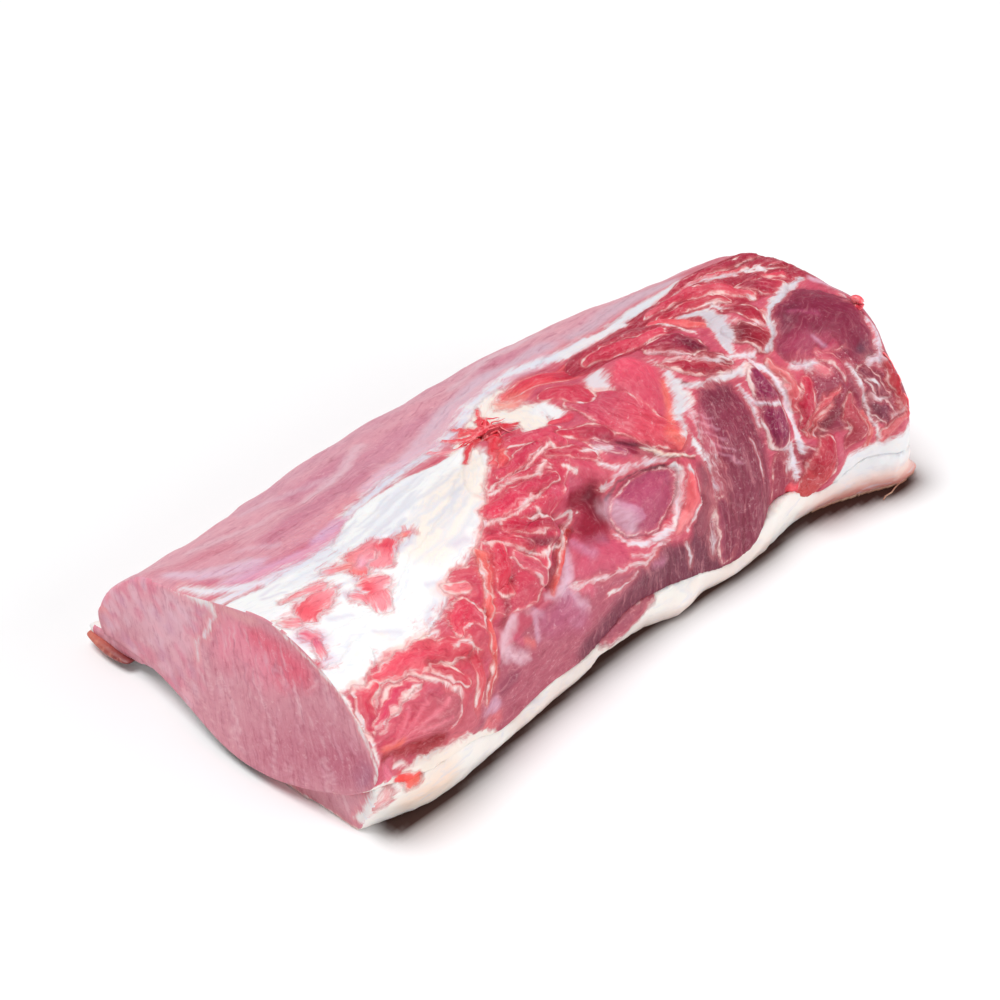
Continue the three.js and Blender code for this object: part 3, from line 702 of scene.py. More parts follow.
# The eye is the round end of a muscle that slides inside its own shiny skin.
# It lies in a socket below the flap, with a white rim and a red fold around it.
skin.muscle((205, 88, 108), [(10, 14, 4), (24, 10, 5), (33, 20, 5), (35, 30, 4)], rim=0, soft=1.8)
skin.muscle((152, 78, 92), [(43, 24, 2.6), (40, 12, 3.6), (33, 5, 3)], rim=0, soft=2)
skin.fatten((232, 204, 214), [(-2, 38, 0.6), (4, 40, 1.1), (12, 40, 1.3), (20, 38.3, 1.2), (28, 35.5, 0.8)],
            soft=1.2)
skin.muscle((186, 92, 120), [(2, 24.5, 8.5), (10, 24.5, 10.5), (19, 26, 9), (25, 28.5, 4.6)],
            edge=(172, 78, 108), rim=0.12, lift=2.2, groove=1.0, streaks=0.5, marble=0.2, wobble=0.8)
skin.veil(0.8, [(-4, 30, 3.6), (-2, 25, 4.6), (0, 20, 4)], 3.2)
for start in (17, 20, 23, 26, 29, 32):
    skin.stain((216, 172, 196), [(-4, start, 0.2), (2, 0.5 * start + 12, 0.5), (7, 0.3 * start + 14, 0.2)],
               1, wobble=1.6, cover=0.7)
skin.stain((96, 46, 66), [(-4, 33, 0.5), (4, 37, 0.5), (16, 36.5, 0.4), (28, 32.5, 0.8)], 0.7)
skin.fatten((234, 206, 216), [(-8, 20, 0.5), (-4, 15, 0.8), (3, 12.5, 1), (10, 11.5, 1.2), (17, 11.8, 0.8)],
            soft=1)
skin.fatten((238, 186, 196), [(31, 25, 0.6), (28, 19, 1), (23, 15, 1)], soft=1.2)
skin.fatten((240, 204, 208), [(31, 28, 1), (28.5, 21, 1.4), (24, 15, 1.2), (18, 12, 0.6)], soft=1.2)
skin.muscle((238, 108, 112), [(34, 26, 1.4), (32.5, 19, 2.4), (28.5, 13, 2.2), (21, 10, 1)],
            end=(240, 156, 150), rim=0, soft=1.2, lift=1.4)
skin.stain((204, 108, 110), [(0, 7, 1.6), (7, 7.5, 1.6)], 2)
skin.skins([
    ((238, 230, 234), [(30.5, 31.5, 1.4), (31.5, 29.5, 1.3)], 0.8),
    ((238, 230, 234), [(35, 28.5, 1.7), (36, 26, 1.6)], 0.9),
    ((240, 200, 206), [(38.5, 26, 0.4), (37.5, 18, 0.5), (31, 10.5, 0.5), (25, 8, 0.3)], 0.6),
    ((236, 190, 200), [(-7, 12, 0.4), (2, 9, 0.4), (12, 8, 0.3)], 0.8)], widen=0.8)

# The flap is a broad muscle folded over the top, bright red at its upper lobe.
# Its lower edge is creamy and makes a deep crease over the eye, darkened with painted shade.
skin.fatten((234, 220, 226), [(36, 88, 4), (31, 80, 4), (27, 71, 2)], soft=1.8)
skin.muscle((206, 82, 106), [(20, 78, 8), (22, 63, 10.5), (28, 49, 8), (37, 40, 4)], end=(228, 92, 104),
            rim=0.2, lift=2.0, groove=1.2, streaks=0.85, marble=0.3)
skin.stain((242, 124, 106), [(33, 44, 2), (38, 38, 2.4)], 2.4)
skin.muscle((206, 60, 84), [(-2, 67, 3), (6, 61, 4.4), (12, 56, 3.4)], end=(180, 62, 84), rim=0.35, lift=1.2)
skin.muscle((212, 66, 90), [(16, 96, 5), (22, 88, 7), (22, 80, 6)], rim=0.4, lift=1.2, streaks=0.9)
skin.muscle((226, 62, 84), [(11, 123, 3), (18, 117, 6.5), (30, 108, 8.5), (44, 105, 8), (54, 103, 5)],
            edge=(236, 84, 90), end=(206, 60, 84), rim=0.1, soft=2.6, lift=1.8, groove=0, streaks=0.95)
skin.stain((240, 128, 118), [(11, 120, 2), (13, 108, 2)], 3)
skin.stain((196, 44, 74), [(28, 104, 1.5), (42, 100, 2.5)], 2)
skin.muscle((244, 92, 118), [(47, 82, 4), (43, 72, 9), (39, 61, 8)], end=(216, 88, 108), rim=0, lift=1.8,
            soft=2.4, groove=0, streaks=0.6, marble=0.2)
skin.stain((236, 120, 104), [(50, 62, 1.6), (44, 53, 2), (37, 47, 2)], 1.6)
skin.muscle((224, 66, 92), [(3, 78, 1.6), (7, 74, 2.4)], rim=0, lift=0.8)
# The crease below the flap's edge dips in and is painted dark as shade, with a darker line at its bottom.
skin.muscle((150, 44, 70), [(8, 54, 1.2), (13, 50, 2), (18, 45, 2.2), (24, 40.5, 1)], rim=0, soft=1.4,
            lift=-0.7, groove=0)
skin.muscle((168, 84, 112), [(5, 55, 1.2), (9, 50, 1.8), (13, 46, 1.6)], rim=0.4, soft=1.4, marble=0.8)
skin.stain((112, 34, 58), [(13, 51, 0.5), (18, 46.5, 0.7), (24, 41, 0.5)], 0.8)
skin.skins([
    ((228, 196, 212), [(3, 53, 0.9), (9, 51, 1)], 1.4),
    ((240, 226, 232), [(1, 47, 1.4), (6, 42.5, 1.6)], 1.2),
    ((240, 228, 230), [(-2, 55, 1), (3, 52, 1)], 1),
    ((246, 214, 196), [(20, 44, 0.4), (28, 38.2, 0.8), (34, 34.5, 0.8), (42, 30.5, 0.6)], 0.6),
    ((218, 210, 216), [(57, 75, 0.8), (56, 68, 1.4), (53.5, 60, 2.8), (50, 52, 4), (44, 47, 3.2),
                       (40, 41, 1.8)], 2),
    ((240, 234, 238), [(44, 37, 1.6), (46, 31, 2.6), (49, 24, 2)], 1.4),
    ((240, 196, 204), [(50, 46, 1), (49, 40, 1.2), (50, 34, 1)], 1.6)], widen=0.8)
# The crease's painted shade runs on along the creamy edge.
skin.stain((136, 60, 56), [(24, 40, 0.6), (31, 35.5, 0.6), (41, 29.5, 0.5)], 0.5)

# The top of the blade end is a stack of dark red muscles with folded white skins between them.
# They run along the loin, and the knife cut each at its own slant.
skin.muscle((174, 46, 70), [(48, 104, 12), (74, 98, 16), (110, 92, 18), (150, 88, 20)], rim=0, marble=0.3,
            streaks=0.95)
skin.fatten((238, 232, 236), [(48, 122, 3.6), (62, 121, 3.6), (76, 115, 3)], soft=1.6, lift=0.5)
skin.muscles([
    ((192, 60, 84), [(96, 109.5, 2), (110, 106, 2.4), (122, 103, 2.6), (134, 100, 2.6), (146, 97, 2.4)],
     (170, 50, 72), 1.2),
    ((204, 66, 90), [(106, 104, 1.6), (120, 99.5, 2.2), (127, 95, 2), (134, 93, 1.6)], (214, 84, 100), 1.0),
    ((210, 64, 90), [(83, 104, 2), (92, 102, 3), (101, 98.5, 3.4), (109, 91, 4), (115, 83, 3.4),
                     (117, 76, 2.2)], (222, 84, 100), 1.6),
    ((196, 48, 76), [(84, 97, 2), (97, 92, 3), (104, 86, 2.8), (108, 80, 2)], (206, 60, 80), 1.4),
    ((208, 54, 82), [(46, 103, 3), (53, 99, 4.6), (60, 95, 4.6), (67, 90, 4.4), (73, 86, 3.2)],
     (226, 72, 98), 1.6),
    ((176, 32, 70), [(63, 82, 4), (69, 75, 7.6), (74, 69.5, 5.6)], (150, 28, 62), 1.8),
    ((232, 86, 104), [(79, 98.5, 2), (84, 90, 3), (87, 82, 2.8), (90, 76, 1.6)], (242, 122, 114), 1.3),
    ((148, 34, 54), [(71, 64, 1.6), (76, 59.5, 2.4), (81, 55, 1.6)], (150, 36, 56), 1.0),
    ((180, 34, 64), [(57, 71, 1), (62, 63.5, 2.8), (69, 57.5, 3), (78, 52.5, 1.4)], (158, 32, 56), 1.2),
    ((168, 32, 66), [(119, 83, 2.2), (125, 76, 4.4), (132, 70, 2.8)], (196, 54, 80), 1.6),
    ((222, 74, 96), [(131, 79, 1.8), (137, 75, 1.8)], (214, 66, 90), 0.8),
    ((162, 24, 56), [(102, 76, 2.2), (107.5, 69.5, 5.4), (107, 63.5, 3.6)], (178, 34, 62), 1.5),
    ((116, 16, 42), [(92, 66.5, 2.6), (96, 61, 5.8), (100, 55, 5.6)], (160, 32, 54), 1.4),
    ((224, 104, 114), [(113.5, 66, 1.4), (111.5, 60, 1.4), (108, 54, 1.2)], (224, 104, 114), 0.6),
    ((152, 58, 80), [(134, 88, 2), (140, 84, 2.6), (146, 82, 2)], (170, 60, 70), 1.0)],
    rim=0.35, groove=0.6, streaks=0.95, marble=0.3, wobble=1.4, soft=0.8)
skin.stains([
    ((120, 26, 58), [(74, 67, 2.4), (71, 72, 2.4)], 3),
    # A small dark spot of painted shade.
    ((84, 34, 60), [(55, 59.5, 1.2), (58, 55.5, 1.3)], 1),
    ((160, 40, 66), [(66, 95, 0.8), (58, 101, 0.8)], 1)])
folds = [
    ((212, 200, 208), [(88, 90, 1.4), (97, 82, 3), (93, 73, 5), (90, 66, 4.8), (85, 60, 2.4)]),
    ((216, 198, 206), [(112, 96, 1), (120, 95, 2.4), (128, 92, 2)]),
    ((236, 216, 222), [(102, 83, 1), (103, 77, 1.2)]),
    ((244, 212, 212), [(77, 93, 0.7), (80, 84, 0.9), (82, 76, 1.2)]),
    ((240, 196, 206), [(60, 80, 0.7), (63, 73, 0.9), (67, 65.5, 0.8)]),
    ((246, 200, 204), [(59, 71, 0.8), (67, 65, 0.9), (76, 56.5, 0.7)]),
    ((238, 222, 228), [(68, 61.5, 0.6), (74, 58, 0.8), (84, 56.5, 1.4), (93, 52, 1.8)]),
    ((222, 210, 216), [(56, 55, 1.2), (63, 53.5, 1.5), (73, 51, 1.6), (81, 49.5, 2), (88, 50, 1.6)]),
    ((238, 160, 168), [(96, 70, 0.5), (100, 65, 0.6), (107, 59.5, 0.6)]),
    ((240, 226, 230), [(129, 91.5, 1.8), (137, 88, 2.2), (134, 82, 1.6)]),
    ((240, 206, 212), [(86, 106, 0.6), (100, 104, 0.7), (116, 99, 0.7), (126, 90, 0.6)]),
    ((216, 206, 214), [(142, 69, 1.6), (127, 68, 2.4), (116, 65, 2.6), (109, 58.5, 2.4), (106, 53, 2),
                       (100, 50.5, 1.8)])]
for tint, path in folds:
    skin.fatten(tint, widened(path, 0.75), soft=1, lift=0.5, wobble=1.3)

# The blade side shows a long striped muscle, and beyond it a big dark oval one with its skin on.
# Between the muscles lie white seams, and the lowest are purple and nearly dry.
skin.muscle((140, 58, 80), [(60, -12, 14), (61, 18, 15), (64, 36, 14), (65, 43, 10.5)], rim=0, soft=2.5,
            streaks=0.95, marble=0.3, lift=1.6)
skin.muscle((158, 62, 82), [(84, -12, 9), (86, 8, 8), (100, 2, 8)], rim=0.3, marble=0.3)
skin.stain((178, 86, 110), [(53, 44, 2), (52, 30, 2.4)], 2.4)
for step in range(5):
    skin.stain((226, 184, 196), [(49 + step, 47 - 5 * step, 0.3), (56 + step, 40 - 5 * step, 0.2)], 0.8,
               wobble=1.6, cover=0.7)
skin.stain((126, 48, 70), [(62, 46, 3), (72, 44, 3)], 3)
skin.muscle((156, 66, 86), [(112, 26, 12), (130, 24, 14), (146, 20, 10)], rim=0.3, marble=0.5)
skin.muscle((144, 44, 86), [(87, 45, 4.6), (87.5, 37, 6), (84.5, 28, 5.2), (83, 20, 4.4)],
            edge=(140, 44, 82), rim=0.4, lift=1.4, marble=0.5, streaks=0.8)
skin.muscle((134, 40, 70), [(111, 47.5, 7.4), (121, 53, 12), (131, 55.5, 11.5), (138, 47, 9.8),
                           (138.5, 38, 7.5)], edge=(146, 50, 78), rim=0, lift=2.2, groove=0.7,
            streaks=0.5, marble=0.1, wobble=1.3, soft=0.9)
skin.stains([
    ((176, 72, 98), [(113, 42, 2), (122, 44, 2.6), (128, 41, 2)], 2.5),
    ((170, 66, 96), [(110, 46, 4), (117, 45.5, 3.4)], 3),
    ((108, 42, 72), [(138, 33.5, 2.6), (141, 31.5, 2)], 2.4),
    ((122, 36, 66), [(113, 55.5, 2), (122, 59.5, 2.6)], 3),
    # A painted highlight: a pale lilac streak on the dark oval's skin.
    ((206, 160, 180), [(119, 46.5, 0.6), (121, 43.5, 0.8), (124, 41, 0.5)], 1.2),
    ((164, 72, 104), [(118, 58, 0.6), (128, 52, 0.6)], 1.2),
    ((222, 190, 200), [(147, 67, 2), (151, 60, 1.6), (152, 52, 1.4)], 1.6)])
skin.muscles([
    ((206, 54, 82), [(104, 34, 2.4), (100, 27, 4), (100, 19, 3.6)], (192, 52, 76), 1.2),
    ((226, 140, 132), [(97, 46, 1.4), (99.5, 40, 1.8), (97, 33, 1.8), (95.5, 27, 1.2)], (206, 84, 92), 0.8),
    ((214, 96, 102), [(117, 27, 1), (109, 25, 1.6), (103, 21, 1.4), (99, 16, 1)], (206, 84, 92), 1.0),
    ((228, 134, 130), [(112, 22, 0.8), (106, 19.5, 1), (101, 15, 0.8)], (222, 120, 116), 0.7),
    ((204, 100, 116), [(118, 40, 1.6), (121.5, 36, 2.6), (123, 31, 2.2)], (190, 84, 102), 1.1),
    ((230, 156, 160), [(112, 38, 1.4), (115, 34.5, 2)], (226, 136, 142), 0.6),
    ((186, 46, 70), [(105, 12, 3), (101, 5, 6), (97, -8, 7)], (206, 82, 78), 1.6),
    ((188, 78, 88), [(121, 22, 2), (119, 16, 3.8), (121, 11, 3.6), (116, 8, 2.6)], (174, 70, 82), 1.4),
    ((226, 130, 122), [(124.5, 15, 0.9), (126, 9, 1.2), (126, 3, 1.2)], (220, 112, 104), 0.7),
    ((118, 40, 66), [(133, 27, 2.6), (136, 22, 3.4), (139, 18, 2.2)], (126, 46, 70), 0.6),
    ((118, 44, 68), [(130, 17, 3), (136, 13, 4.4), (138, 9.5, 3.2)], (130, 50, 74), 1.2),
    ((170, 42, 56), [(145, 27, 2.2), (145, 20, 2.8), (145, 13, 2.2)], (190, 50, 60), 1.3),
    ((216, 112, 112), [(133, 4, 1.8), (138, 6, 2), (144, 8, 1.8)], (216, 118, 116), 0.8),
    ((218, 58, 72), [(147, 10, 1.3), (149, 7, 1.3)], (222, 80, 90), 0.7)],
    rim=0.12, groove=0.6, streaks=0.9, marble=0.4, wobble=1.5, soft=0.9)
# The dark line of a crevice between the muscles is painted shade.
skin.stain((134, 66, 74), [(118, 20.8, 0.3), (111, 17.5, 0.8), (103, 14.5, 0.8)], 1.2)
skin.skins([
    ((238, 226, 234), [(90, 51.5, 1.2), (95.5, 43, 1.5), (94.5, 34, 1.5), (93, 26, 1.8), (93, 18, 2),
                       (94, 11, 1.4)], 0.7),
    ((226, 206, 222), [(79, 41, 0.7), (80.5, 36, 0.9), (84, 34.5, 0.8), (88, 32, 0.5)], 0.9),
    ((232, 212, 222), [(78, 45, 0.7), (79, 38, 0.6), (78, 28, 0.4)], 0.8),
    ((236, 222, 232), [(84, 15.5, 1.2), (88, 15.5, 1.8), (88, 8, 2.6), (90, 3, 1.6)], 1.6),
    ((224, 204, 222), [(104, 41, 1.2), (108, 39, 1.8), (113, 38.5, 1.2)], 1.4),
    ((224, 200, 214), [(148, 52, 1), (150, 42, 2.2), (150, 34, 2.6), (144, 29, 2.4), (137, 28, 1.2)], 1.6),
    ((230, 214, 220), [(127, 31, 1.2), (129, 28, 1.8), (128.5, 22, 1.2), (128, 17, 1), (127.5, 13, 1),
                       (130, 8, 1.2), (132.5, 4, 0.9)], 1),
    ((226, 206, 216), [(104, 41, 1.2), (109, 39, 2.2), (114, 38, 1)], 1.6),
    ((230, 214, 220), [(133, 24, 0.4), (135.5, 22.5, 0.8), (137.5, 20, 0.3)], 0.7),
    ((226, 200, 210), [(131.5, 19.5, 0.4), (136, 17, 0.9), (140, 16, 0.4)], 0.8),
    ((224, 170, 176), [(139, 10, 0.6), (143, 11, 1), (147, 13, 0.6)], 1),
    ((232, 200, 212), [(48, 45, 0.9), (50, 38, 0.6)], 1.6),
    ((230, 196, 208), [(52, 31, 0.6), (51, 24, 0.4)], 1.6),
    ((224, 194, 206), [(70, 26, 0.3), (71, 10, 0.3)], 0.7)], widen=0.75)
skin.muscle((240, 82, 96), [(87, -2, 1.6), (90, -3, 1.6)], rim=0, lift=0.8, soft=0.7)
skin.fatten((238, 236, 238), [(120, -6, 8), (140, -6, 8.6), (160, -6, 9)], soft=1.2, lift=0.4)

# The far end was cut across all the muscles at once, so each shows as an oval with fat round it.
# Most of it faces away from the camera.
end = Canvas(points[:, 1], points[:, 2], points)
end.muscle((176, 66, 88), [(-90, 40, 60), (90, 40, 60)], rim=0, lift=0, groove=0, wobble=0)
end.fatten(WHITE, [(-80, 12, 8), (0, 8, 7), (80, 16, 9)], soft=1.5)
end.fatten((236, 222, 228), [(-60, 30, 5), (-20, 40, 5), (10, 64, 5), (30, 74, 4)], soft=1.5)
end_ovals = [
    ((206, 110, 126), [(14, 46, 18), (40, 42, 20), (56, 36, 15)]),
    ((150, 50, 72), [(-18, 62, 10), (-4, 66, 9)]),
    ((140, 48, 76), [(-44, 50, 12), (-34, 46, 12)]),
    ((168, 60, 80), [(-68, 30, 9), (-62, 24, 8)]),
    ((176, 60, 78), [(-36, 24, 8), (-16, 26, 9)]),
    ((160, 56, 78), [(-16, 44, 7), (-8, 46, 7)])]
for colour, path in end_ovals:
    end.muscle(colour, path, rim=1.0, lift=1.2, groove=0.8, streaks=0.3, marble=0.4, turn=90)
far_end = np.clip((normals[:, 0] - 0.45) / 0.2, 0, 1) * (points[:, 0] > FAR_X)

# The near end is one clean slice straight through the eye muscle, dull pink and finely grained.
# A white seam divides it near the middle, and thin fat shows at its lower right corner.


def slice_through(face):
    """Paints the clean slice on a canvas whose axes are Y and Z."""
    face.muscle((219, 146, 160), [(28, 90, 95), (-22, -80, 95)], rim=0, lift=0, groove=0, wobble=0,
                streaks=0.6, marble=0.3)
    face.stains([
        ((232, 176, 190), [(76, 40, 14), (32, 46, 20)], 10),
        ((236, 148, 166), [(70, 30, 6), (58, 44, 7), (40, 52, 6)], 6),
        ((238, 142, 162), [(-2, 46, 6), (-10, 56, 8), (-24, 50, 8)], 8),
        ((234, 104, 128), [(-18, 60, 4), (-28, 60, 5), (-42, 58, 6), (-34, 52, 5)], 6),
        ((232, 160, 166), [(0, 63, 2), (-18, 66, 2)], 3),
        ((208, 126, 144), [(-30, 16, 10), (-56, 34, 12)], 10),
        ((200, 108, 130), [(-60, 26, 8), (-72, 34, 7)], 6),
        ((186, 108, 134), [(-74, 26, 4), (-76, 32, 3)], 4),
        ((236, 142, 146), [(76, 22, 2), (68, 24, 2)], 3)])
    dice = np.random.default_rng(4)
    for _ in range(170):
        y, z = dice.uniform(-76, 40), dice.uniform(6, 66)
        run, slant = dice.uniform(4, 11), dice.uniform(0.15, 0.5)
        tone = ((238, 190, 200), (232, 170, 186), (196, 112, 134))[dice.integers(3)]
        path = [(y, z, 0.2), (y - slant * run * 0.4, z - run * 0.5, 0.5), (y - slant * run, z - run, 0.1)]
        face.stain(tone, path, 0.9, wobble=2.4, cover=0.6)
    for _ in range(150):
        y, z = dice.uniform(10, 82), dice.uniform(6, 62)
        tone = ((240, 176, 190), (216, 150, 176), (228, 128, 152), (236, 190, 204))[dice.integers(4)]
        reach = dice.uniform(0.8, 2.4)
        face.stain(tone, [(y, z, reach), (y - 2, z - 1.5, reach)], 1.6, wobble=2, cover=0.6)
    face.fatten((240, 226, 226), [(34, 60, 0.4), (24, 58, 1), (14, 59.5, 1.4), (6, 60.5, 1.2), (3, 57, 0.8)],
                soft=1.8)
    face.fatten((240, 200, 210), [(4, 55, 0.3), (9, 46, 0.4), (13, 40, 0.2), (12, 33, 0)], soft=1.4)
    face.stain((242, 196, 206), [(12, 36, 0.4), (12, 30, 0.4), (6, 26, 0.2)], 1.4, cover=0.8)
    fine_veins = [
        [(-1, 36, 0.1), (-7, 30, 0.3), (-11, 18, 0.2), (-16, 8, 0.1)],
        [(-58, 44, 0.1), (-61, 52, 0.2)],
        [(-19, 45, 0.1), (-25, 35, 0.3), (-32, 23, 0.1)],
        [(-38, 52, 0.1), (-43, 40, 0.2)],
        [(-46, 53, 0.2), (-50, 58, 0.3)]]
    for path in fine_veins:
        face.stain((244, 198, 208), path, 0.9, wobble=2, cover=0.8)
    face.fatten((246, 228, 226), [(-30, 70.5, 0.1), (-47, 65, 0.3), (-57, 61, 0.6), (-66, 57, 0.7),
                                  (-74, 47.5, 0.8), (-80.5, 36, 0.8), (-80, 29, 0.7)], soft=1)
    face.fatten((244, 236, 234), [(-78, 22, 1.6), (-75, 14, 2.4), (-71, 7, 2.6)], soft=1.2)


cut = Canvas(points[:, 1], points[:, 2], points)
slice_through(cut)
face_share = np.clip((-normals[:, 0] - 0.4) / 0.3, 0, 1) * (points[:, 0] < CUT_X)


def neighbour_means(mesh, values, rounds):
    """Each point's value blended with its neighbours', as many times as asked."""
    ends = np.empty(len(mesh.edges) * 2, np.int32)
    mesh.edges.foreach_get("vertices", ends)
    first, second = ends.reshape(-1, 2).T
    count = np.maximum(np.bincount(ends, minlength=len(values)), 1)
    for _ in range(rounds):
        total = np.zeros_like(values)
        for axis in range(values.shape[1]):
            total[:, axis] = (np.bincount(first, values[second, axis], len(values))
                              + np.bincount(second, values[first, axis], len(values)))
        values = 0.5 * values + 0.5 * total / count[:, None]
    return values


# All that the canvases hold now goes onto the lean: the far end's share, the heights, then the colours.
# The smooth side is drawn in near the cut face, and the blade end's rim stands out.
DRAWN_IN = 3.6
RIM_SWELL = 3.8
for name in ("flesh", "tint", "fat", "fibre", "streaks", "marble", "film", "height"):
    ours, theirs = getattr(skin, name), getattr(end, name)
    share = far_end if ours.ndim == 1 else far_end[:, None]
    share = np.round(share) if name == "fibre" else share
    setattr(skin, name, ours * (1 - share) + theirs * share)
lift = skin.height * (1 - face_share) + cut.height * 0.3 * face_share
strand = wander(np.stack([skin.fibre[:, 0] / 1.4, skin.fibre[:, 1] / 14, skin.fibre[:, 2]], 1), 1, 5)[:, 0]
lift += strand * 0.35 * skin.streaks * (1 - face_share) * (skin.fat < 0)
lift += skin.fine[:, 1] * 0.35 * eased(skin.fat, -0.5, 1) * (1 - face_share)
lift += skin.coarse[:, 2] * 1.1 * eased(arc, 112, 140) * (1 - face_share)
points += normals * lift[:, None]
outwards = np.stack([0 * arc, points[:, 1], points[:, 2] - AXIS_Z], 1)
radius = np.maximum(np.linalg.norm(outwards, axis=1), 1)
dent = eased(arc, 126, 156) * eased(-arc, -226, -186) * eased(radius, 30, 66)
dent *= -DRAWN_IN * eased(-points[:, 0], 40, 112) * (1 - 0.5 * eased(-points[:, 0], 136, 156))
swell = RIM_SWELL * eased(points[:, 0], 130, 150) * eased(radius, 30, 56)
swell *= eased(arc, 24, 40) * eased(-arc, -62, -48)
points += outwards * ((dent + swell) / radius)[:, None]
move_points(lean.data, points)
# Painted shade: where the surface lies below its neighbours, in hollows and creases, the flesh and fat
# colours are darkened.
hollow = ((neighbour_means(lean.data, points, 24) - points) * read_normals(lean.data)).sum(1)
boned = eased(-arc, -124, -104) * (1 - face_share)
crease = eased(hollow, 0.12, 1.1) * (1 - face_share)
skin.flesh *= 1 - boned[:, None] * np.array([0, 0.24, 0.13])
skin.flesh *= 1 - crease[:, None] * np.array([0.4, 0.82, 0.68])
skin.tint *= 1 - crease[:, None] * np.array([0.08, 0.36, 0.3])

# What each point of a mesh carries into its material
carried = [("flesh", "FLOAT_COLOR"), ("tint", "FLOAT_COLOR"), ("fat", "FLOAT"), ("fibre", "FLOAT_VECTOR"),
           ("streaks", "FLOAT"), ("marble", "FLOAT"), ("film", "FLOAT")]
for name, kind in carried:
    store(lean.data, name, kind, getattr(skin, name))
    store(lean.data, "cut_" + name, kind, getattr(cut, name))


def meat_material(name, prefix="", grain=(0.42, 0.08, 1), pale_strand=(252, 172, 180)):
    """Moist muscle with fat and skins on it, from what the canvas left on the points."""
    material, sheet = new_material(name)

    def read(layer, output):
        return sheet.node("ShaderNodeAttribute", {"attribute_name": prefix + layer}, {}, output)

    fibre = read("fibre", 1)
    place = sheet.node("ShaderNodeTexCoord", {}, {}, 3)
    strand = fibre.stretched(*grain).cloud(1, 4, 0.62, 1.0)
    hair = fibre.stretched(1.4, 0.22, 1).cloud(1, 3, 0.6, 0.8)
    blotch = place.cloud(140, 4, 0.6)
    mottle = place.cloud(300, 3, 0.6, 0.5)
    speck = place.cloud(620, 3, 0.6)
    streaks = read("streaks", 2)
    flesh = read("flesh", 0)
    deeper = sheet.node("ShaderNodeVectorMath", {"operation": "MULTIPLY"}, {0: flesh, 1: (0.7, 0.4, 0.5)})
    dark = (0.5 - strand).between(0, 0.2) * streaks * 0.75 + (0.5 - mottle).between(0, 0.2) * 0.3
    flesh = dark.blend(flesh, deeper)
    pale = (strand - 0.52).between(0, 0.2) * streaks * 0.6 + (mottle - 0.54).between(0, 0.2) * 0.25
    inputs = {0: 0.5, 6: flesh, 7: paint(*pale_strand)}
    half_way = sheet.node("ShaderNodeMix", {"data_type": "RGBA"}, inputs, 2)
    flesh = pale.blend(flesh, half_way)
    flesh = ((hair - 0.56).between(0, 0.16) * streaks * 0.14).blend(flesh, paint(252, 200, 202))
    vein = (0.03 - sheet.maths("ABSOLUTE", blotch - 0.5, 0.0)).between(0, 0.03)
    # Pale flecks are painted glints, small wet highlights, spread where the marble amount is high; the thin
    # veins are real marbling.
    painted_glint = (speck - 0.58).between(0, 0.09) * (mottle - 0.44).between(0, 0.15)
    marbling_and_glints = vein * read("marble", 2) * 0.25 + painted_glint * read("marble", 2) * 0.9
    flesh = marbling_and_glints.blend(flesh, paint(244, 200, 206))
    film = read("film", 2) * (strand * 0.9 + 0.35)
    flesh = (film * 0.75).blend(flesh, paint(222, 192, 207))
    ragged = (blotch - 0.5) * 1.6 + (strand - 0.5) * 1.8 + (hair - 0.5) * 0.9
    edge = read("fat", 2) + ragged
    flesh = (edge.between(-1.6, 0.2) * 0.3).blend(flesh, paint(248, 140, 142))
    fat = edge.between(-0.5, 0.6)
    tint = read("tint", 0)
    tint = ((strand - 0.5).between(0, 0.2) * 0.5).blend(tint, paint(222, 222, 234))
    tint = ((blotch - 0.55).between(0, 0.2) * 0.35).blend(tint, paint(252, 236, 222))
    colour = fat.blend(flesh, tint)
    relief = strand * streaks * 0.6 + hair * streaks * 0.3 + fat * 0.3 + speck * 0.12 + blotch * 0.3
    bump = sheet.node("ShaderNodeBump", {}, {"Strength": 0.5, "Distance": 0.0012, "Height": relief})
    finish_material(sheet, {
        "Base Color": colour, "Roughness": 0.45 - fat * 0.04 + speck * 0.1, "Normal": bump,
        "Coat Weight": 0.08, "Coat Roughness": 0.25, "Subsurface Weight": 0.12,
        "Subsurface Radius": (1.0, 0.35, 0.25), "Subsurface Scale": 0.003, "Specular IOR Level": 0.25})
    return material


lean.data.materials.append(meat_material("lean_meat"))
lean.data.materials.append(meat_material("lean_cut", "cut_", (0.5, 0.1, 1), (238, 186, 196)))
for face in lean.data.polygons:
    face.use_smooth = True
    face.material_index = int(face.normal.x < -0.7 and face.center.x < CUT_X * MM)
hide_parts("lean")
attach(lean, "root")

# Loose shreds of muscle stand out of the torn fat and hang at the far rim, thin and wet.
# Each is a tapering strand rooted in the lean. A cut vessel end curls up at the blade end's rim.
TUFT_X = -15
TUFT_ARC = 103


def spot_on_lean(x, up, lift):
    """The place on the lean at a map position, raised by some mm, and which way is out there."""
    on_a_cut = 400 * (face_share + far_end)
    off = (points[:, 0] - x) ** 2 + (arc - up) ** 2 + on_a_cut
    nearest = int(np.argmin(off))
    outward = Vector(normals[nearest]).normalized()
    return Vector(points[nearest]) + outward * lift, outward


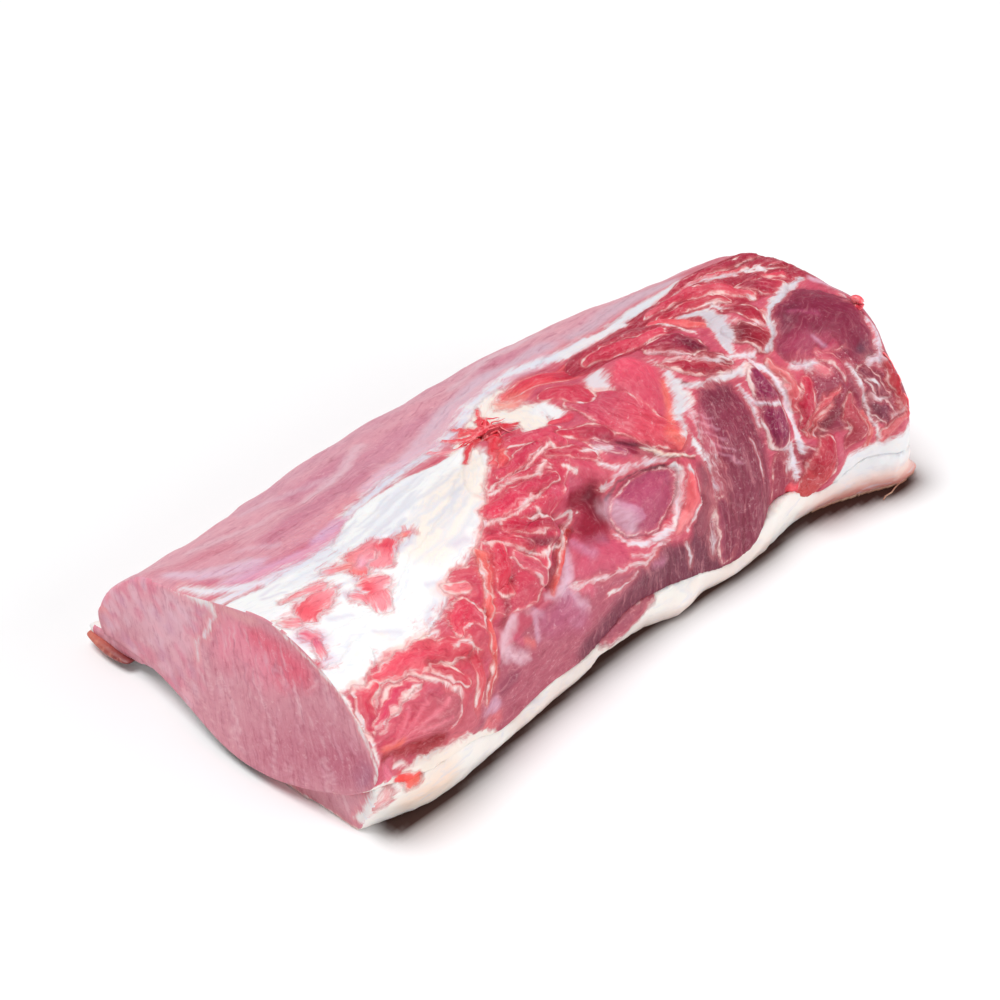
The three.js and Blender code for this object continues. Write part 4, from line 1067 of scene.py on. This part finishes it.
def add_tubes(name, tubes, material):
    """One piece made of round tubes. Each tube is a list of places with a radius, all in mm."""
    around = 8
    spots, faces = [], []
    for tube in tubes:
        start = len(spots)
        for i, (place, radius) in enumerate(tube):
            ahead = (tube[min(i + 1, len(tube) - 1)][0] - tube[max(i - 1, 0)][0]).normalized()
            side = ahead.cross(Vector((0.3, 0.2, 1))).normalized()
            rise = side.cross(ahead)
            for k in range(around):
                a = 2 * math.pi * k / around
                spots.append((place + (side * math.cos(a) + rise * math.sin(a)) * radius) * MM)
        for i in range(len(tube) - 1):
            row = start + i * around
            for k in range(around):
                m = (k + 1) % around
                faces.append((row + m, row + k, row + around + k, row + around + m))
        faces.append(tuple(range(start, start + around)))
        faces.append(tuple(reversed(range(len(spots) - around, len(spots)))))
    mesh = bpy.data.meshes.new(name)
    mesh.from_pydata(spots, [], faces)
    for face in mesh.polygons:
        face.use_smooth = True
    mesh.materials.append(material)
    piece = bpy.data.objects.new(name, mesh)
    bpy.context.scene.collection.objects.link(piece)
    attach(piece, "root")


def shred(path, thick):
    """A strand over map positions given with a lift each, thickest near its root."""
    places = [spot_on_lean(x, up, lift)[0] for x, up, lift in path]
    tube = []
    for i in range(len(places) - 1):
        for step in range(4):
            share = (i + step / 4) / (len(places) - 1)
            place = places[i].lerp(places[i + 1], step / 4)
            sway = noise.noise_vector(place / 5) * 0.8
            tube.append((place + sway, thick * (1 - 0.75 * share)))
    tube.append((places[-1], thick * 0.15))
    return tube


shred_material, sheet = new_material("wet_shreds")
blotches = sheet.node("ShaderNodeTexCoord", {}, {}, 3).cloud(260, 3)
wet_red = blotches.between(0.4, 0.6).blend(paint(244, 70, 88), paint(254, 140, 144))
finish_material(sheet, {"Base Color": wet_red, "Roughness": 0.35, "Coat Weight": 0.2, "Coat Roughness": 0.2})
dice = np.random.default_rng(7)
shreds = []
for turn in range(0, 360, 24):
    reach = dice.uniform(6, 17)
    lean_way = math.radians(turn + dice.uniform(-8, 8))
    bent = lean_way + 0.3
    tip = (TUFT_X + reach * math.cos(lean_way), TUFT_ARC + reach * math.sin(lean_way))
    middle = (TUFT_X + 0.5 * reach * math.cos(bent), TUFT_ARC + 0.5 * reach * math.sin(bent))
    start = (TUFT_X + dice.uniform(-3, 3), TUFT_ARC + dice.uniform(-3, 3), 0.1)
    shreds.append(shred([start, (*middle, dice.uniform(0.3, 1.1)), (*tip, dice.uniform(0, 0.8))],
                        dice.uniform(0.5, 0.8)))
for x, up, slant in ((151, 26, 2), (152, 20, -2), (150, 13, 2)):
    shreds.append(shred([(x - 2, up + slant, -0.2), (x, up, 0.3), (x + 1, up - slant, 0.1)], 0.7))
add_tubes("loose_shreds", shreds, shred_material)
curl, outward = spot_on_lean(146.5, 48, 0.6)
across = outward.cross(Vector((1, 0, 0))).normalized()
coil = []
for step in range(26):
    a = step * 0.34
    spread = 2.2 - 0.05 * step
    coil.append((curl + across * spread * math.cos(a) + outward * spread * math.sin(a)
                 + Vector((0.06 * step, 0, 0)), 1.7 - 0.03 * step))
add_tubes("vessel_end", [coil], shred_material)

# The fat cap is the firm white layer that the loin lies on, laid bare along the boned side.
# It is soft at its edges and lumpy where the knife went through it.
FAT_SPACING = 0.0013
SEAM_REACH = 4.0
SOLE_LIFT = 1.2
fat_cap = bpy.data.objects.new("fat_layer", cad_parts["fat_cap"].data.copy())
bpy.context.scene.collection.objects.link(fat_cap)
knit = fat_cap.modifiers.new("even_net", "REMESH")
knit.mode = "VOXEL"
knit.voxel_size = FAT_SPACING
evaluated = fat_cap.evaluated_get(bpy.context.evaluated_depsgraph_get())
fat_cap.data = bpy.data.meshes.new_from_object(evaluated)
fat_cap.modifiers.clear()
fat_cap.data.name = "fat_layer"
fat_cap.data.materials.clear()
points = read_points(fat_cap.data)
points = neighbour_means(fat_cap.data, points, 2)
move_points(fat_cap.data, points)
normals = read_normals(fat_cap.data)
fat_arc = arc_of(points[:, 1], points[:, 2])
suet = Canvas(points[:, 0], fat_arc, points)
suet.muscle((200, 110, 120), [(-200, 0, 400), (200, 0, 400)], rim=0, lift=0, groove=0, wobble=0)
suet.fatten((243, 238, 236), [(-200, 0, 400), (200, 0, 400)], lift=0, wobble=0, soft=1)
suet.fatten((250, 244, 238), [(-150, -12, 9), (-40, -16, 8), (60, -12, 9), (160, -10, 9)], soft=5,
            colour_only=True)
near_corner_fat(suet)
suet.muscle((176, 84, 104), [(-36, -8, 1.6), (-27, -11.5, 3.6), (-12, -12, 3.4), (3, -10, 1.5)], rim=0,
            soft=1, lift=0, groove=0, streaks=0.8)
suet.skins([
    ((240, 222, 214), [(-80, -18, 4), (0, -22, 5), (70, -18, 4)], 4),
    ((238, 238, 240), [(104, -8, 3), (130, -5, 5), (165, -4, 6)], 4),
    ((244, 208, 198), [(96, -17, 2), (122, -15, 4.5), (165, -14, 6)], 3.5),
    ((226, 142, 130), [(106, -19, 1.5), (130, -17.5, 2.6), (168, -17, 3.6)], 2.5)], colour_only=True)
sliced = Canvas(points[:, 1], points[:, 2], points)
slice_through(sliced)
sliced.stain((196, 124, 136), [(60, 0, 6), (-60, 0, 6)], 4)
sliced.fatten((222, 180, 168), [(60, 0.4, 0.7), (-76, 0.4, 0.7)], soft=0.6)
for name, kind in carried:
    store(fat_cap.data, name, kind, getattr(suet, name))
    store(fat_cap.data, "cut_" + name, kind, getattr(sliced, name))
lumps = 0.7 * suet.coarse[:, 0] + 0.45 * suet.fine[:, 0] + 0.15 * suet.finest[:, 0]
faces_out = 1 - np.abs(normals[:, 2])
lumps *= points[:, 0] > CUT_X
points += normals * (lumps * np.clip(faces_out, 0, 1) + 1.1 * np.clip(normals[:, 2], 0, 1))[:, None]
# The far corner slopes back from its foot to its top, and lies a little clear of the table.
far_corner = eased(points[:, 0], 120, 158) * eased(-points[:, 1], 55, 80)
near_top = eased(points[:, 2], 2, 12)
points[:, 0] += far_corner * (2.5 - 7.5 * near_top)
points[:, 1] += far_corner * (3 * near_top - 3)
points[:, 2] = np.maximum(points[:, 2], SOLE_LIFT * eased(points[:, 0], 85, 115))
# Between two ribs the knife went in under the edge, and beyond them the fat bulges out a little.
front = eased(-points[:, 1], 40, 56)
nick = np.interp(points[:, 0], (-42, -29, -21, -6, 2, 15, 23, 32), (0, 6, 4.4, 2, -1, -4.4, -3, 0))
bulge = np.minimum(nick, 0) * eased(-points[:, 2], -12, -6)
points[:, 1] += front * (np.maximum(nick - 0.95 * points[:, 2], 0) + bulge)
move_points(fat_cap.data, points)
# Fat is grown onto muscle, so what lies close to the lean is drawn against it and leaves no gap.
lean_surface = BVHTree.FromPolygons([v.co for v in lean.data.vertices],
                                    [f.vertices for f in lean.data.polygons])
for vertex in fat_cap.data.vertices:
    nearest, facing, _, gap = lean_surface.find_nearest(vertex.co, SEAM_REACH * MM)
    if nearest is not None and (vertex.co - nearest).dot(facing) > 0:
        pull = 1 - (gap / (SEAM_REACH * MM)) ** 1.5
        vertex.co = vertex.co.lerp(nearest - facing * 0.3 * MM, pull)
fat_cap.data.update()
fat_cap.data.materials.append(meat_material("firm_fat"))
fat_cap.data.materials.append(meat_material("sliced_edge", "cut_", (0.5, 0.1, 1), (238, 186, 196)))
for face in fat_cap.data.polygons:
    face.use_smooth = True
    at_cut = face.normal.x < -0.5 and face.center.x < CUT_X * MM and -0.078 < face.center.y < 0.08
    face.material_index = int(at_cut)
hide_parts("fat_cap")
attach(fat_cap, "root")

# The rind is the pig's skin, a tan leathery sheet under the fat, flat where it lies on the table.
# Its edge shows as a thin line below the fat.
RIND_DEPTH = 1.3
NEAR_SIZE = 0.985
rind = bpy.data.objects.new("rind_sheet", fat_cap.data.copy())
bpy.context.scene.collection.objects.link(rind)
work = bmesh.new()
work.from_mesh(rind.data)
away = [face for face in work.faces if face.normal.z > -0.9 or face.calc_center_median().z > 0.002]
bmesh.ops.delete(work, geom=away, context="FACES")
work.to_mesh(rind.data)
work.free()
rind.data.name = "rind_sheet"
rind.data.materials.clear()
rind_points = read_points(rind.data)
rind_points[:, 2] = 0
rind_points[:, :2] *= (NEAR_SIZE + (1 - NEAR_SIZE) * eased(rind_points[:, 0], 85, 115))[:, None]
move_points(rind.data, rind_points)
thick = rind.modifiers.new("thickness", "SOLIDIFY")
thick.thickness = RIND_DEPTH * MM
thick.offset = -1
evaluated = rind.evaluated_get(bpy.context.evaluated_depsgraph_get())
rind.data = bpy.data.meshes.new_from_object(evaluated)
rind.modifiers.clear()
rind_material, sheet = new_material("tan_rind")
pores = sheet.node("ShaderNodeTexCoord", {}, {}, 3).cloud(700, 3)
patches = sheet.node("ShaderNodeTexCoord", {}, {}, 3).cloud(60, 3)
hide = patches.between(0.4, 0.6).blend(paint(212, 168, 142), paint(196, 134, 112))
hide = (pores.between(0.5, 0.65) * 0.4).blend(hide, paint(168, 108, 90))
bump = sheet.node("ShaderNodeBump", {}, {"Strength": 0.3, "Distance": 0.0005, "Height": pores})
finish_material(sheet, {"Base Color": hide, "Roughness": 0.5, "Normal": bump, "Coat Weight": 0.1})
rind.data.materials.append(rind_material)
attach(rind, "root")


def add_tab():
    """The end of the rind, a thick red-brown lip that curls out below the slice at the smooth side."""
    stations = [(83, 5.2, 0.4, -154.5), (80, 5, 1.0, -155.2), (76, 4.6, 1.6, -155.8), (71, 4.2, 2.0, -156.2),
                (66, 4.0, 1.9, -156.2), (61, 4.2, 1.3, -155.8), (56.5, 4.6, 0.6, -155)]
    around = 14
    spots, faces = [], []
    for y, z, thick, x in stations:
        for k in range(around):
            a = 2 * math.pi * k / around
            spots.append((Vector((x + 2.6 * math.cos(a), y, max(z + thick * math.sin(a), 0.1))) * MM))
    for i in range(len(stations) - 1):
        for k in range(around):
            m = (k + 1) % around
            faces.append((i * around + k, i * around + m, (i + 1) * around + m, (i + 1) * around + k))
    faces.append(tuple(reversed(range(around))))
    faces.append(tuple(range((len(stations) - 1) * around, len(stations) * around)))
    mesh = bpy.data.meshes.new("rind_tab")
    mesh.from_pydata(spots, [], faces)
    tab = bpy.data.objects.new("rind_tab", mesh)
    bpy.context.scene.collection.objects.link(tab)
    smooth = tab.modifiers.new("smooth", "SUBSURF")
    smooth.levels = 2
    tab.data = bpy.data.meshes.new_from_object(tab.evaluated_get(bpy.context.evaluated_depsgraph_get()))
    tab.modifiers.clear()
    for face in tab.data.polygons:
        face.use_smooth = True
    material, sheet = new_material("lip_rind")
    along = sheet.node("ShaderNodeTexCoord", {}, {}, 3)
    place = sheet.node("ShaderNodeSeparateXYZ", {}, {"Vector": along}, 1)
    grime = along.cloud(420, 4)
    hide = place.between(0.06, 0.08).blend(paint(132, 48, 48), paint(196, 104, 88))
    hide = ((grime - 0.5).between(0, 0.2) * 0.4).blend(hide, paint(226, 150, 128))
    bump = sheet.node("ShaderNodeBump", {}, {"Strength": 0.4, "Distance": 0.0006, "Height": grime})
    finish_material(sheet, {"Base Color": hide, "Roughness": 0.45, "Normal": bump, "Coat Weight": 0.1})
    tab.data.materials.append(material)
    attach(tab, "root")


add_tab()

# A thread of skin hangs loose at the rind's far corner and lies on the table.
# It was pulled out when the loin was cut off, and holds at its root alone.
thread = [Vector(spot) for spot in ((150, -76, 3), (147.5, -80, 0.8), (143.5, -80.4, 0.4), (140, -81.4, 0.4),
                                    (136, -81.2, 0.4), (133, -82.4, 0.8))]
loops = [thread[i].lerp(thread[i + 1], step / 4) for i in range(5) for step in range(4)] + [thread[5]]
add_tubes("rind_thread", [[(place, 0.32) for place in loops]], rind_material)
